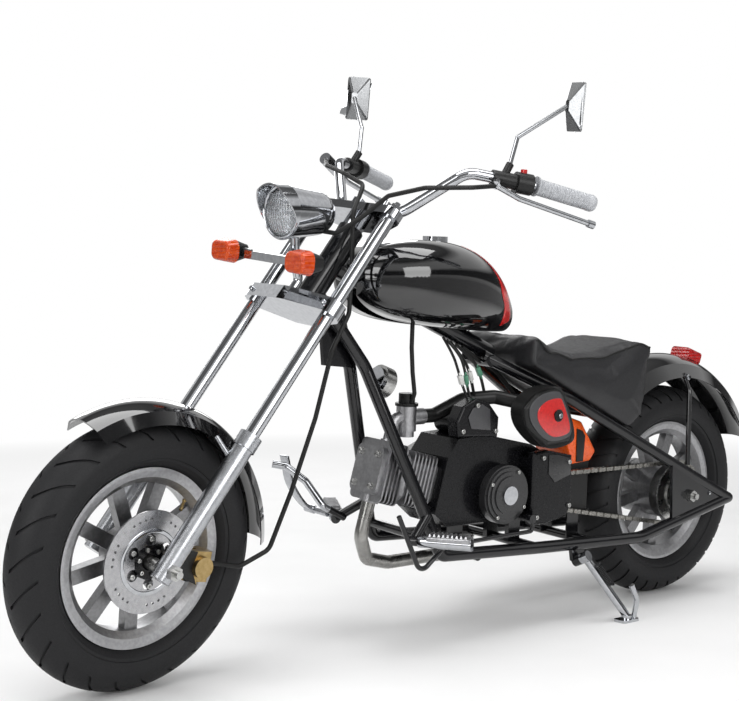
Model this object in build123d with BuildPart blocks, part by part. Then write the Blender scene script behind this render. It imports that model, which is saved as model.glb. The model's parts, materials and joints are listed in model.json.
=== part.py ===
from build123d import *
from math import asin, atan, cos, degrees, hypot, pi, radians, sin, tan
import os

# A small hardtail chopper motorcycle, leaning on its side stand with the bars turned a little left.
# Millimetres. X points forward from the rear axle, Y to the rider's left, Z up from the ground.

# Stance
WHEELBASE = 1420
RAKE = 37
FORK_OFFSET = 21
STEER_REST = 7
LEAN = 3.2
SEAT_GAP = 0.3
FIT = 0.15

# Wheels and tyres
TYRE_RADIUS = 250
FRONT_TYRE_WIDTH = 100
REAR_TYRE_WIDTH = 118
TREAD_DROP = 20
TYRE_WALL = 9
FLANGE_RADIUS = 166
FLANGE_THICKNESS = 5
BEAD_RADIUS = 152.5
RIM_WELL_RADIUS = 142
RIM_INNER_RADIUS = 136
FRONT_RIM_HALF = 31
REAR_RIM_HALF = 37
SPOKES = 9
SPOKE_WIDTH = 27
SPOKE_DEPTH = 20
FRONT_HUB_RADIUS = 44
FRONT_HUB_HALF = 40
REAR_HUB_RADIUS = 64
REAR_HUB_HALF = 46
AXLE_RADIUS = 7
AXLE_CLEARANCE = 0.5
AXLE_STUB = 10
SPACER_RADIUS = 12
NUT_RADIUS = 14
NUT_HEIGHT = 11

# Front brake
DISC_RADIUS = 94
DISC_THICKNESS = 4
DISC_Y = 52
CARRIER_CUTS = 6
DISC_HOLE_GROUPS = 6
DISC_HOLES = 4
DISC_HOLE_RADIUS = 2.6

# Chain drive
CHAIN_PITCH = 12.7
REAR_TEETH = 37
FRONT_TEETH = 17
CHAIN_Y = 75
CHAIN_WIDTH = 13
CHAIN_HEIGHT = 10
SPROCKET_THICKNESS = 4
CHAIN_PLAY = 0.6
PLATE_GAUGE = 2.2
LINK_WAIST = 0.72
FRONT_SPROCKET_X = 455
FRONT_SPROCKET_Z = 294

# Frame tubes
TUBE = 13
BACKBONE = 19
CROSS_TUBE = 10
HEAD_RADIUS = 26
HEAD_LOW = 590
HEAD_HIGH = 760
STEM_RADIUS = 15
STEM_CLEARANCE = 0.5
RAIL_Y = 110
STAY_Y = 95
PLATE_Y = 113
PLATE_THICKNESS = 8
RAIL_BEND = 45

# Fork
LEG_SPREAD = 105
STANCHION_RADIUS = 14
LOWER_RADIUS = 19
LOWER_TOP = 282
LOWER_BOTTOM = -22
CLAMP_LOW = 550
CLAMP_HIGH = 580
TOP_CLAMP_LOW = 782
TOP_CLAMP_HIGH = 800
# forward, left, radius of the rounds that a clamp plate is drawn over
LOWER_CLAMP_ROUNDS = ((FORK_OFFSET, LEG_SPREAD, 24), (4, 20, 34), (38, 10, 18))
TOP_CLAMP_ROUNDS = ((FORK_OFFSET, LEG_SPREAD, 22), (-14, 38, 22))

# Bodywork
FENDER_WALL = 3
FRONT_FENDER_RADIUS = 284
FRONT_FENDER_HALF = 63
FRONT_FENDER_DROP = 36
FRONT_FENDER_SPAN = (64, 180)
REAR_FENDER_RADIUS = 328
REAR_FENDER_HALF = 78
REAR_FENDER_DROP = 52
REAR_FENDER_SPAN = (42, 160)
STRUT_RADIUS = 6

# Engine
CASE_HALF = 60
MUFFLER_RADIUS = 38
CYLINDER_TILT = 15
CYLINDER_Y = 0
FINS = 7
FIN_PITCH = 10
FIN_THICKNESS = 3.5
MAGNETO_RADIUS = 63
MAGNETO_STEPS = ((94, 63), (98, 58), (101, 50), (104, 40), (108, 20))
COVER_EDGE = 6

# Handlebar and lamps, worked in the fork's own directions: forward, left, up along the steering axis
BAR_RADIUS = 11
BAR_BEND_RADIUS = 42
GRIP_RADIUS = 16
GRIP_ROOT = 11
HOSE_RADIUS = 4.5
BAR_CLAMP = (-14, 84, 822)
RISER_Y = 38
RISER_ROOF = 6
BAR_HUMP = (-18, 184, 938)
GRIP_START = (-129, 246, 1002)
GRIP_END = (-250, 295, 1060)
CONTROL_LENGTH = 34
SLEEVE_RADIUS = 15.4
SLEEVE_END = 62
CONTROL_RADIUS = 21
LEVER_RADIUS = 5.5
LEVER_PIVOT = (-60, 227, 944)
LEVER_KNEE = (-112, 246, 956)
LEVER_TIP = (-264, 304, 1020)
MASTER_CYLINDER = (-6, 214, 934)
MIRROR_FOOT = 74
MIRROR_BOOT = (-74, 215, 1008)
MIRROR_KNEE = (-48, 221, 1055)
MIRROR_HEAD = (-44, 300, 1135)
MIRROR_WIDTH = 54
MIRROR_HEIGHT = 94
MIRROR_DEPTH = 18
MIRROR_GLASS = 4
MIRROR_CORNER = 5
MIRROR_TWIST = 16
MIRROR_STEM = 4.5
LAMP_PLACE = (162, 0, 675)
SIGNAL_PLACE = (139, 109, 587)
SIGNAL_WIDTH = 60
SIGNAL_HEIGHT = 46

# Fittings: places and sizes in millimetres
GUSSET_HALF = 5
CASE_FLOOR = 238
MOUNT_XS = (500, 670)
MOUNT_TUBE_Z = 181
BATTERY_X = 318
BATTERY_FLOOR = 236
TRAY_TUBE_Z = 172
STAND_PIVOT = (375, 137, 150)
STAND_FOOT_X = 300
STAND_FOOT_Y = 198
STAND_FOLDED = (0.975, 0.12, 0.10)
STAND_HUB = 20
STAND_HUB_RADIUS = 12
PEG_ROOT = (858, 138, 238)
PEG_TIP = (803, 232, 242)
PEDAL_LUG_ROOT = (850, -116, 240)
PEDAL_LUG_END = (892, -116, 262)
SHIFT_PIVOT = (797, 144, 227)
SHIFT_SHAFT = (526, 112, 246)
BARREL_LENGTH = 82
HEAD_LENGTH = 74
PORT_REACH = 66
POD_OUTLINE = (
    (590, 490), (552, 520), (497, 530), (472, 516), (436, 438), (446, 408), (518, 404), (578, 446),
)
POD_EDGE = 12
POD_INSET = 0.6
POD_BOLT = (498, 472)
CARB_X = 786
CARB_Z = 464
CALIPER_ANGLE = 190
LAMP_RADIUS = 53
LAMP_CONE = 84
LAMP_WAIST = 42
LENS_DOME = 9
# Hose and cable routes: forward, left, up along the steering axis
HOSE = (
    (-82, 66, 60), (-150, 72, 90), (-190, 74, 150), (-160, 76, 260), (-110, 80, 400), (-52, 84, 520),
    (-44, 78, 600), (0, 62, 680), (56, 48, 762), (58, 30, 830), (46, -60, 862), (26, -150, 892),
    (-6, -208, 930),
)
CABLES = (
    (-64, 224, 946), (-20, 218, 905), (40, 170, 850), (64, 120, 806), (60, 80, 750), (62, 45, 708),
    (71, 20, 703),
)

SIDES = (("left", 1), ("right", -1))

# Derived places
rake = radians(RAKE)
front_axle = Vector(WHEELBASE, 0, TYRE_RADIUS)
rear_axle_centre = Vector(0, 0, TYRE_RADIUS)
fork_forward = Vector(cos(rake), 0, sin(rake))
fork_up = Vector(-sin(rake), 0, cos(rake))
FORK = Plane(origin=front_axle - fork_forward * FORK_OFFSET, x_dir=fork_forward, z_dir=fork_up)
rear_pitch_radius = REAR_TEETH * CHAIN_PITCH / (2 * pi)
front_pitch_radius = FRONT_TEETH * CHAIN_PITCH / (2 * pi)


def fork_point(forward, left, up):
    return FORK.from_local_coords(Vector(forward, left, up))


def side_plane(y):
    """A plane facing left, whose own x runs backward and own y runs up."""
    return Plane(origin=(0, y, 0), x_dir=(-1, 0, 0), z_dir=(0, 1, 0))


def radial_plane(centre, angle):
    """A plane through an axle: own x to the left, own y outward at an angle up from forward."""
    turn = radians(angle)
    return Plane(origin=centre, x_dir=(0, 1, 0), z_dir=(sin(turn), 0, -cos(turn)))


def tube(points, radius, bend=0):
    """A round bar along straight runs joined by arcs."""
    with BuildLine() as path:
        if len(points) > 2:
            FilletPolyline(*points, radius=bend)
        else:
            Line(*points)
    with BuildSketch(Plane(path.line @ 0, z_dir=path.line % 0)) as section:
        Circle(radius)
    sweep(section.sketch, path=path.line)


def drum(start, end, radius, mode=Mode.ADD):
    """A cylinder between two points."""
    direction = Vector(*end) - Vector(*start)
    with BuildSketch(Plane(Vector(*start), z_dir=direction)) as section:
        Circle(radius)
    extrude(section.sketch, amount=direction.length, mode=mode)


def slab(outline, y_low, y_high, mode=Mode.ADD):
    """A plate seen from the side: outline points are x, z."""
    with BuildSketch(side_plane(y_low)) as section:
        with BuildLine():
            Polyline(*[(-x, z) for x, z in outline], close=True)
        make_face()
    extrude(section.sketch, amount=y_high - y_low, mode=mode)


def mirrored(point):
    return (point[0], -point[1], point[2])


def tyre(centre, width, rim_half):
    """A hollow tyre carcass with round shoulders."""
    half = width / 2
    bead = rim_half - FLANGE_THICKNESS - SEAT_GAP
    toe = bead - TYRE_WALL
    seat = BEAD_RADIUS + SEAT_GAP
    side_low = FLANGE_RADIUS + SEAT_GAP
    bulge = (FLANGE_RADIUS + TYRE_RADIUS) / 2
    shoulder = half - TYRE_WALL
    shoulder_radius = TYRE_RADIUS - TREAD_DROP
    inner_shoulder = shoulder - TYRE_WALL
    inner_radius = shoulder_radius - TYRE_WALL / 2
    with BuildSketch(radial_plane(centre, 90)) as section:
        with BuildLine():
            ThreePointArc((bead, side_low), (half, bulge), (shoulder, shoulder_radius))
            ThreePointArc((shoulder, shoulder_radius), (0, TYRE_RADIUS), (-shoulder, shoulder_radius))
            ThreePointArc((-shoulder, shoulder_radius), (-half, bulge), (-bead, side_low))
            Polyline((-bead, side_low), (-bead, seat), (-toe, seat), (-toe, side_low))
            ThreePointArc((-toe, side_low), (TYRE_WALL - half, bulge), (-inner_shoulder, inner_radius))
            ThreePointArc(
                (-inner_shoulder, inner_radius), (0, TYRE_RADIUS - TYRE_WALL), (inner_shoulder, inner_radius)
            )
            ThreePointArc((inner_shoulder, inner_radius), (half - TYRE_WALL, bulge), (toe, side_low))
            Polyline((toe, side_low), (toe, seat), (bead, seat), (bead, side_low))
        make_face()
    revolve(section.sketch, axis=Axis(centre, (0, 1, 0)))


def cast_wheel(centre, rim_half, hub_radius, hub_half):
    """A cast wheel: rim with a dropped well, blade spokes and a hub bored for its axle."""
    lip = rim_half - FLANGE_THICKNESS
    half_rim = [
        (rim_half, FLANGE_RADIUS - 6),
        (rim_half, FLANGE_RADIUS),
        (lip, FLANGE_RADIUS),
        (lip, BEAD_RADIUS),
        (lip - 11, BEAD_RADIUS - 1),
        (lip - 18, RIM_WELL_RADIUS + 1),
    ]
    inner_half = [(lip - 9, RIM_INNER_RADIUS), (rim_half - 3, FLANGE_RADIUS - 18)]
    right = inner_half + half_rim
    outline = right + [(-y, r) for y, r in reversed(right)]
    with BuildSketch(radial_plane(centre, 90)) as section:
        with BuildLine():
            Polyline(*outline, close=True)
        make_face()
    revolve(section.sketch, axis=Axis(centre, (0, 1, 0)))
    for index in range(SPOKES):
        blade = radial_plane(centre, -90 + index * 360 / SPOKES).offset(-SPOKE_WIDTH / 2)
        with BuildSketch(blade) as spoke:
            with Locations((0, (hub_radius + RIM_WELL_RADIUS) / 2 - 3)):
                Rectangle(SPOKE_DEPTH, RIM_WELL_RADIUS - hub_radius + 4)
        extrude(spoke.sketch, amount=SPOKE_WIDTH)
    drum(centre - Vector(0, hub_half, 0), centre + Vector(0, hub_half, 0), hub_radius)
    drum(
        centre - Vector(0, hub_half, 0),
        centre + Vector(0, hub_half, 0),
        AXLE_RADIUS + AXLE_CLEARANCE,
        mode=Mode.SUBTRACT,
    )


def fender(centre, radius, half, drop, span):
    """A curved mudguard swept round its wheel between two angles."""
    front_angle, rear_angle = span
    wall = FENDER_WALL
    shoulder = half * 0.72
    shoulder_radius = radius - drop * 0.4
    with BuildSketch(radial_plane(centre, rear_angle)) as section:
        with BuildLine():
            ThreePointArc((shoulder, shoulder_radius), (0, radius), (-shoulder, shoulder_radius))
            Polyline(
                (-shoulder, shoulder_radius),
                (-half, radius - drop),
                (wall - half, radius - drop),
                (wall - shoulder, shoulder_radius - wall),
            )
            ThreePointArc(
                (wall - shoulder, shoulder_radius - wall),
                (0, radius - wall),
                (shoulder - wall, shoulder_radius - wall),
            )
            Polyline(
                (shoulder - wall, shoulder_radius - wall),
                (half - wall, radius - drop),
                (half, radius - drop),
                (shoulder, shoulder_radius),
            )
        make_face()
    revolve(section.sketch, axis=Axis(centre, (0, 1, 0)), revolution_arc=rear_angle - front_angle)


# Frame: head tube, backbone, paired cradle tubes and stays, axle plates and engine mounts
neck_low = fork_point(0, 0, HEAD_LOW + 20)
neck_mid = fork_point(0, 0, (HEAD_LOW + HEAD_HIGH) / 2)
down_top = (neck_low.X - 117, 25, neck_low.Z - 150)
down_bottom = (790, 106, 232)
rail_front = (775, RAIL_Y, 194)
rail_mid = (490, RAIL_Y, 179)
rail_rear = (169, PLATE_Y - 1, 167)
apex = (-148, PLATE_Y, 232)
stay_bend = (412, STAY_Y, 499)
backbone_end = (560, 0, 592)
backbone_slope = (neck_mid.Z - backbone_end[2]) / (neck_mid.X - backbone_end[0])
stay_slope = (stay_bend[2] - apex[2]) / (stay_bend[0] - apex[0])


def stay_height(x):
    return stay_bend[2] + stay_slope * (x - stay_bend[0])


stay_top = (600, 24, stay_height(600))
peg_way = (Vector(*PEG_TIP) - Vector(*PEG_ROOT)).normalized()


stand_pivot = Vector(*STAND_PIVOT)
stand_foot = Vector(STAND_FOOT_X, STAND_FOOT_Y, STAND_FOOT_Y * tan(radians(LEAN)))
stand_axis = Vector(*STAND_FOLDED).cross(stand_foot - stand_pivot).normalized()
ground = Plane(origin=stand_foot, x_dir=(1, 0, 0), z_dir=(0, -sin(radians(LEAN)), cos(radians(LEAN))))

with BuildPart() as frame:
    drum(fork_point(0, 0, HEAD_LOW), fork_point(0, 0, HEAD_HIGH), HEAD_RADIUS)
    tube([neck_mid, backbone_end], BACKBONE)
    for _, side in SIDES:
        sided = [(x, side * y, z) for x, y, z in (down_top, down_bottom, rail_mid, rail_rear, apex)]
        down = [neck_low + Vector(0, side * 12, 0), *sided]
        tube(down[:2] + [sided[1]], TUBE, bend=60)
        tube([sided[1], (rail_front[0], side * RAIL_Y, rail_front[2]), sided[2]], TUBE, bend=20)
        tube([sided[2], sided[3], sided[4]], TUBE, bend=RAIL_BEND * 3)
        tube([(x, side * y, z) for x, y, z in (stay_top, stay_bend, apex)], TUBE, bend=RAIL_BEND)
        plate_low = side * PLATE_Y - PLATE_THICKNESS / 2
        axle_plate = [
            (-140, 234),
            (70, stay_height(70) + 4),
            (60, 194),
        ]
        slab(axle_plate, plate_low, plate_low + PLATE_THICKNESS)
        drum(
            (0, plate_low, TYRE_RADIUS),
            (0, plate_low + PLATE_THICKNESS, TYRE_RADIUS),
            AXLE_RADIUS + FIT,
            mode=Mode.SUBTRACT,
        )
        peg_root = Vector(PEG_ROOT[0], side * PEG_ROOT[1], PEG_ROOT[2])
        sided_way = Vector(peg_way.X, side * peg_way.Y, peg_way.Z)
        drum(peg_root - sided_way * 20, peg_root - sided_way * SEAT_GAP, CROSS_TUBE)
        tube([(806, side * 100, 275), peg_root - sided_way * 12], CROSS_TUBE)
        with Locations((apex[0], side * apex[1], apex[2])):
            Sphere(TUBE)
    tube([(stay_top[0] - 12, -40, stay_height(588) - 4), (stay_top[0] - 12, 40, stay_height(588) - 4)], TUBE)
    tube([PEDAL_LUG_ROOT, PEDAL_LUG_END], 8)
    shift_pivot = Vector(*SHIFT_PIVOT)
    drum((shift_pivot.X, down_bottom[1], shift_pivot.Z), shift_pivot - Vector(0, SEAT_GAP, 0), 8)
    tube([(330, -STAY_Y, stay_height(330)), (330, STAY_Y, stay_height(330))], CROSS_TUBE)
    tube([(788, -RAIL_Y, 226), (788, RAIL_Y, 226)], CROSS_TUBE)
    for mount_x in MOUNT_XS:
        tube([(mount_x, -RAIL_Y, MOUNT_TUBE_Z), (mount_x, RAIL_Y, MOUNT_TUBE_Z)], CROSS_TUBE)
        for _, side in SIDES:
            with BuildSketch(Plane.XY.offset(MOUNT_TUBE_Z)) as lug:
                with Locations((mount_x, side * 34)):
                    Rectangle(34, 12)
            extrude(lug.sketch, amount=CASE_FLOOR - SEAT_GAP - MOUNT_TUBE_Z)
    tube([(BATTERY_X, -RAIL_Y, TRAY_TUBE_Z), (BATTERY_X, RAIL_Y, TRAY_TUBE_Z)], CROSS_TUBE)
    with BuildSketch(Plane.XY.offset(BATTERY_FLOOR - SEAT_GAP - 4)) as tray:
        with Locations((BATTERY_X, 0)):
            Rectangle(66, 118)
    extrude(tray.sketch, amount=4)
    for _, side in SIDES:
        slab(
            [(BATTERY_X - 18, 170), (BATTERY_X + 18, 170), (BATTERY_X + 18, 234), (BATTERY_X - 18, 234)],
            side * 40 - 2,
            side * 40 + 2,
        )
    neck_front = fork_point(-24, 0, HEAD_LOW + 14)
    gusset = [(0, 0), (-15, -127), (-95, -135), (-55, -1)]
    slab([(neck_front.X + x, neck_front.Z + z) for x, z in gusset], -GUSSET_HALF, GUSSET_HALF)
    slab([(352, 176), (398, 176), (390, 138), (360, 138)], 106, 116)
    drum(stand_pivot - stand_axis * 30, stand_pivot - stand_axis * (STAND_HUB / 2 + SEAT_GAP), STAND_HUB_RADIUS)
    drum(
        fork_point(0, 0, HEAD_LOW - 30),
        fork_point(0, 0, HEAD_HIGH + 30),
        STEM_RADIUS + STEM_CLEARANCE,
        mode=Mode.SUBTRACT,
    )

with BuildPart() as rear_axle:
    reach = PLATE_Y + PLATE_THICKNESS / 2 + SEAT_GAP + NUT_HEIGHT + AXLE_STUB
    drum((0, -reach, TYRE_RADIUS), (0, reach, TYRE_RADIUS), AXLE_RADIUS)
    for _, side in SIDES:
        nut_face = side * (PLATE_Y + PLATE_THICKNESS / 2 + SEAT_GAP)
        with BuildSketch(Plane(origin=(0, nut_face, TYRE_RADIUS), z_dir=(0, side, 0))) as nut:
            RegularPolygon(NUT_RADIUS, 6)
        extrude(nut.sketch, amount=NUT_HEIGHT)
    drum(
        (0, PLATE_Y - PLATE_THICKNESS / 2 - SEAT_GAP, TYRE_RADIUS),
        (0, CHAIN_Y + 6 + SEAT_GAP, TYRE_RADIUS),
        SPACER_RADIUS,
    )

# Engine: crankcase block, finned cylinder, covers, carburettor, filter, exhaust
cylinder_base = Vector(735, CYLINDER_Y, 325)
cylinder_way = Vector(cos(radians(CYLINDER_TILT)), 0, sin(radians(CYLINDER_TILT)))
cylinder_up = Vector(-sin(radians(CYLINDER_TILT)), 0, cos(radians(CYLINDER_TILT)))
CYLINDER = Plane(origin=cylinder_base, x_dir=(0, 1, 0), z_dir=cylinder_way)
case_low = cylinder_base - cylinder_up * 60
case_high = cylinder_base + cylinder_up * 60
intake_port = cylinder_base + cylinder_way * 116 + cylinder_up * PORT_REACH
exhaust_port = cylinder_base + cylinder_way * 130 - cylinder_up * PORT_REACH
with BuildPart() as crankcase:
    slab(
        [
            (408, 300), (440, 256), (470, CASE_FLOOR), (715, CASE_FLOOR), (case_low.X, case_low.Z),
            (case_high.X, case_high.Z), (692, 420), (610, 424), (480, 396), (412, 362),
        ],
        -CASE_HALF,
        CASE_HALF,
    )
    drum((580, CASE_HALF - 5, 299), (580, CASE_HALF + 15, 299), MAGNETO_RADIUS - 2)
    drum(
        (FRONT_SPROCKET_X, CASE_HALF - 5, FRONT_SPROCKET_Z),
        (FRONT_SPROCKET_X, CHAIN_Y + 4, FRONT_SPROCKET_Z),
        12,
    )
    drum(
        (FRONT_SPROCKET_X, CHAIN_Y - SPROCKET_THICKNESS / 2, FRONT_SPROCKET_Z),
        (FRONT_SPROCKET_X, CHAIN_Y + SPROCKET_THICKNESS / 2, FRONT_SPROCKET_Z),
        front_pitch_radius - CHAIN_HEIGHT / 2 - CHAIN_PLAY,
    )
    drum((640, -50, 446), (640, 62 - SEAT_GAP, 446), 26)
    shift_x, shift_y, shift_z = SHIFT_SHAFT
    drum((shift_x, CASE_HALF - 5, shift_z), (shift_x, shift_y - SEAT_GAP, shift_z), 7)

with BuildPart() as cylinder:
    with BuildSketch(CYLINDER.offset(SEAT_GAP)):
        RectangleRounded(78, 84, 12)
    extrude(amount=BARREL_LENGTH)
    with BuildSketch(CYLINDER.offset(SEAT_GAP + BARREL_LENGTH)):
        RectangleRounded(84, 98, 14)
    extrude(amount=HEAD_LENGTH)
    for index in range(FINS):
        with BuildSketch(CYLINDER.offset(12 + index * FIN_PITCH)):
            RectangleRounded(90, 114, 10)
        extrude(amount=FIN_THICKNESS)
    for index in range(5):
        with BuildSketch(CYLINDER.offset(BARREL_LENGTH + 18 + index * FIN_PITCH)):
            RectangleRounded(90, 122, 10)
        extrude(amount=FIN_THICKNESS)
    drum(intake_port - cylinder_up * 30, intake_port, 17)
    drum(exhaust_port + cylinder_up * 30, exhaust_port, 19)

with BuildPart() as magneto_cover:
    # outer face, radius: the cover steps in ring by ring to its polished cap
    face = CASE_HALF + 15 + SEAT_GAP
    for step_face, step_radius in MAGNETO_STEPS:
        drum((580, face, 299), (580, step_face, 299), step_radius)
        face = step_face

with BuildPart() as sprocket_cover:
    slab(
        [(392, 372), (388, 262), (402, 238), (468, 226), (506, 228), (512, 270), (512, 384), (470, 388)],
        CHAIN_Y + 11,
        CHAIN_Y + 27,
    )
    fillet(sprocket_cover.faces().sort_by(Axis.Y)[-1].edges(), COVER_EDGE)
    slab([(503, 270), (512, 270), (512, 372), (503, 374)], CASE_HALF + SEAT_GAP, CHAIN_Y + 11)

with BuildPart() as starter_cover:
    slab([(612, 424), (722, 430), (728, 462), (712, 492), (676, 508), (640, 498), (610, 466)], 62, 94)
    fillet(starter_cover.faces().sort_by(Axis.Y)[-1].edges(), COVER_EDGE)

with BuildPart() as clutch_cover:
    slab(
        [(470, 246), (690, 246), (725, 290), (715, 380), (640, 410), (520, 392), (455, 330)],
        -98,
        -CASE_HALF - SEAT_GAP,
    )
    fillet(clutch_cover.faces().sort_by(Axis.Y)[0].edges(), COVER_EDGE)
    drum((560, -98, 315), (560, -108, 315), 55)
    drum((560, -108, 315), (560, -112, 315), 44)

manifold_end = intake_port + cylinder_up * SEAT_GAP
manifold_bend = manifold_end + cylinder_up * ((CARB_Z - manifold_end.Z) / cylinder_up.Z)
with BuildPart() as carburettor:
    drum((CARB_X, CYLINDER_Y, CARB_Z - 28), (CARB_X, CYLINDER_Y, CARB_Z + 28), 21)
    drum((CARB_X, CYLINDER_Y, CARB_Z + 28), (CARB_X, CYLINDER_Y, CARB_Z + 50), 17)
    drum((CARB_X - 44, CYLINDER_Y, CARB_Z), (CARB_X + 10, CYLINDER_Y, CARB_Z), 17)
    drum((CARB_X, CYLINDER_Y, CARB_Z - 40), (CARB_X, CYLINDER_Y, CARB_Z - 28), 17)
    drum((CARB_X, CYLINDER_Y, CARB_Z + 24), (CARB_X, CYLINDER_Y, CARB_Z + 30), 24)
    tube([(CARB_X, CYLINDER_Y, CARB_Z), manifold_bend, manifold_end], 13, bend=16)

with BuildPart() as air_filter:
    hose_start = (CARB_X - 44 - SEAT_GAP, CYLINDER_Y, CARB_Z)
    tube(
        [
            hose_start, (712, CYLINDER_Y, CARB_Z), (645, 15, 496), (580, 45, 502), (540, 90, 492),
            (515, 118, 478),
        ],
        15,
        bend=22,
    )
    slab(POD_OUTLINE, 110, 146)
    fillet(air_filter.faces().sort_by(Axis.Y)[-1].edges(), POD_EDGE)
    pod_centre = Vector(POD_BOLT[0], 0, POD_BOLT[1])
    inset = [pod_centre + (Vector(x, 0, z) - pod_centre) * POD_INSET for x, z in POD_OUTLINE]
    slab([(corner.X, corner.Z) for corner in inset], 146, 149)
    drum((pod_centre.X, 149, pod_centre.Z), (pod_centre.X, 154, pod_centre.Z), 9)

with BuildPart() as battery:
    with BuildSketch(Plane.XY.offset(BATTERY_FLOOR)):
        with Locations((BATTERY_X, 0)):
            RectangleRounded(62, 112, 5)
    extrude(amount=158)

with BuildPart() as exhaust:
    tube(
        [
            exhaust_port - cylinder_up * SEAT_GAP, exhaust_port - cylinder_up * 72, (862, -22, 172),
            (790, -40, 152), (620, -55, 148),
         (470, -150, 146), (370, -182, 205)],
        14,
        bend=30,
    )
    muffler_start = Vector(380, -182, 200)
    muffler_end = Vector(-60, -184, 268)
    muffler_way = (muffler_end - muffler_start).normalized()
    drum(muffler_start, muffler_end, MUFFLER_RADIUS)
    drum(muffler_end, muffler_end + muffler_way * 12, MUFFLER_RADIUS - 8)
    drum(muffler_end - muffler_way * 10, muffler_end + muffler_way * 34, 16)
    drum(muffler_end - muffler_way * 6, muffler_end + muffler_way * 34, 13, mode=Mode.SUBTRACT)
    with BuildSketch(Plane(muffler_start, z_dir=-muffler_way)) as inlet:
        Circle(MUFFLER_RADIUS)
    extrude(inlet.sketch, amount=40, taper=28)

with BuildPart() as fuel_tank:
    # x, width, top, bottom, corner radius
    for x, width, top, bottom, corner in (
        (944, 96, 786, 716, 34),
        (880, 230, 821, 676, 66),
        (780, 262, 829, 656, 74),
        (660, 222, 806, 645, 70),
        (552, 120, 716, 640, 36),
    ):
        with BuildSketch(Plane(origin=(x, 0, (top + bottom) / 2), x_dir=(0, 1, 0), z_dir=(1, 0, 0))):
            RectangleRounded(width, top - bottom, corner)
    loft()
    roof = (BACKBONE + SEAT_GAP) * hypot(1, backbone_slope)
    slab(
        [
            (neck_mid.X, neck_mid.Z + roof),
            (backbone_end[0] - 30, backbone_end[2] - 30 * backbone_slope + roof),
            (backbone_end[0] - 30, 560), (neck_mid.X, 560),
        ],
        -BACKBONE - 2,
        BACKBONE + 2,
        mode=Mode.SUBTRACT,
    )

with BuildPart() as fuel_cap:
    drum((725, 0, 812), (725, 0, 838), 26)
    add(fuel_tank.part, mode=Mode.SUBTRACT)
    fuel_cap.part = fuel_cap.part.solids().sort_by(Axis.Z)[-1]

with BuildPart() as fuel_hose:
    tube([(812, 40, 676), (812, 40, 612), (802, 34, 560), (788, 26, 516), (788, 8, 476)], HOSE_RADIUS, bend=12)
    add(fuel_tank.part, mode=Mode.SUBTRACT)
    add(carburettor.part, mode=Mode.SUBTRACT)
    fuel_hose.part = fuel_hose.part.solids().sort_by(SortBy.VOLUME)[-1]

# Saddle and rear bodywork
seat_rise = (TUBE + SEAT_GAP) * hypot(1, stay_slope)
with BuildPart() as seat:
    slab(
        [
            (540, stay_height(540) + seat_rise), (534, 640), (470, 606), (400, 590), (300, 594), (190, 622),
            (146, 610),
            (170, stay_height(215) + seat_rise + 30), (215, stay_height(215) + seat_rise),
        ],
        -118,
        118,
    )
    drum((0, -90, TYRE_RADIUS), (0, 90, TYRE_RADIUS), REAR_FENDER_RADIUS + 3, mode=Mode.SUBTRACT)

with BuildPart() as rear_fender:
    fender(rear_axle_centre, REAR_FENDER_RADIUS, REAR_FENDER_HALF, REAR_FENDER_DROP, REAR_FENDER_SPAN)
    for _, side in SIDES:
        strut_foot = stay_height(4) + (TUBE + SEAT_GAP) * hypot(1, stay_slope) + 3
        strut_head = TYRE_RADIUS + REAR_FENDER_RADIUS - REAR_FENDER_DROP + 8
        tube(
            [(-12, side * 70, strut_head), (-8, side * 93, strut_head - 40), (4, side * 108, strut_foot)],
            STRUT_RADIUS,
            bend=20,
        )

with BuildPart() as tail_lamp:
    with BuildSketch(radial_plane(rear_axle_centre, 108).offset(-24)):
        with Locations((0, REAR_FENDER_RADIUS + 8)):
            RectangleRounded(56, 30, 8)
    extrude(amount=48)
    add(rear_fender.part, mode=Mode.SUBTRACT)
    tail_lamp.part = tail_lamp.part.solids().sort_by(Axis.Z)[-1]

# Foot controls
with BuildPart() as foot_pegs:
    for _, side in SIDES:
        drum(
            (PEG_ROOT[0], side * PEG_ROOT[1], PEG_ROOT[2]),
            (PEG_TIP[0], side * PEG_TIP[1], PEG_TIP[2]),
            12,
        )

with BuildPart() as brake_pedal:
    lug_way = (Vector(*PEDAL_LUG_END) - Vector(*PEDAL_LUG_ROOT)).normalized()
    pedal_root = Vector(*PEDAL_LUG_END) + lug_way * SEAT_GAP
    pedal_knees = [(928, -150, 318), (950, -190, 345), (975, -206, 350)]
    tube([pedal_root, pedal_root + lug_way * 16, *pedal_knees], 8, bend=12)

with BuildPart() as shift_linkage:
    drum(shift_pivot, shift_pivot + Vector(0, 12, 0), 10)
    tube([shift_pivot + Vector(0, 6, 0), (862, 150, 176), (922, 150, 296)], 5, bend=18)
    shaft = Vector(*SHIFT_SHAFT)
    drum(shaft, shaft + Vector(0, 10, 0), 10)
    tube([shaft + Vector(0, 6, 0), shaft + Vector(-4, 6, -26), shift_pivot + Vector(0, 6, -2)], 4.5, bend=8)

with BuildPart() as rear_sprocket:
    drum(
        (0, CHAIN_Y - SPROCKET_THICKNESS / 2, TYRE_RADIUS),
        (0, CHAIN_Y + SPROCKET_THICKNESS / 2, TYRE_RADIUS),
        rear_pitch_radius - CHAIN_HEIGHT / 2 - CHAIN_PLAY,
    )
    drum((0, REAR_HUB_HALF + SEAT_GAP, TYRE_RADIUS), (0, CHAIN_Y + 6, TYRE_RADIUS), 40)
    drum(
        (0, REAR_HUB_HALF, TYRE_RADIUS),
        (0, CHAIN_Y + 8, TYRE_RADIUS),
        AXLE_RADIUS + AXLE_CLEARANCE,
        mode=Mode.SUBTRACT,
    )

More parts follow.
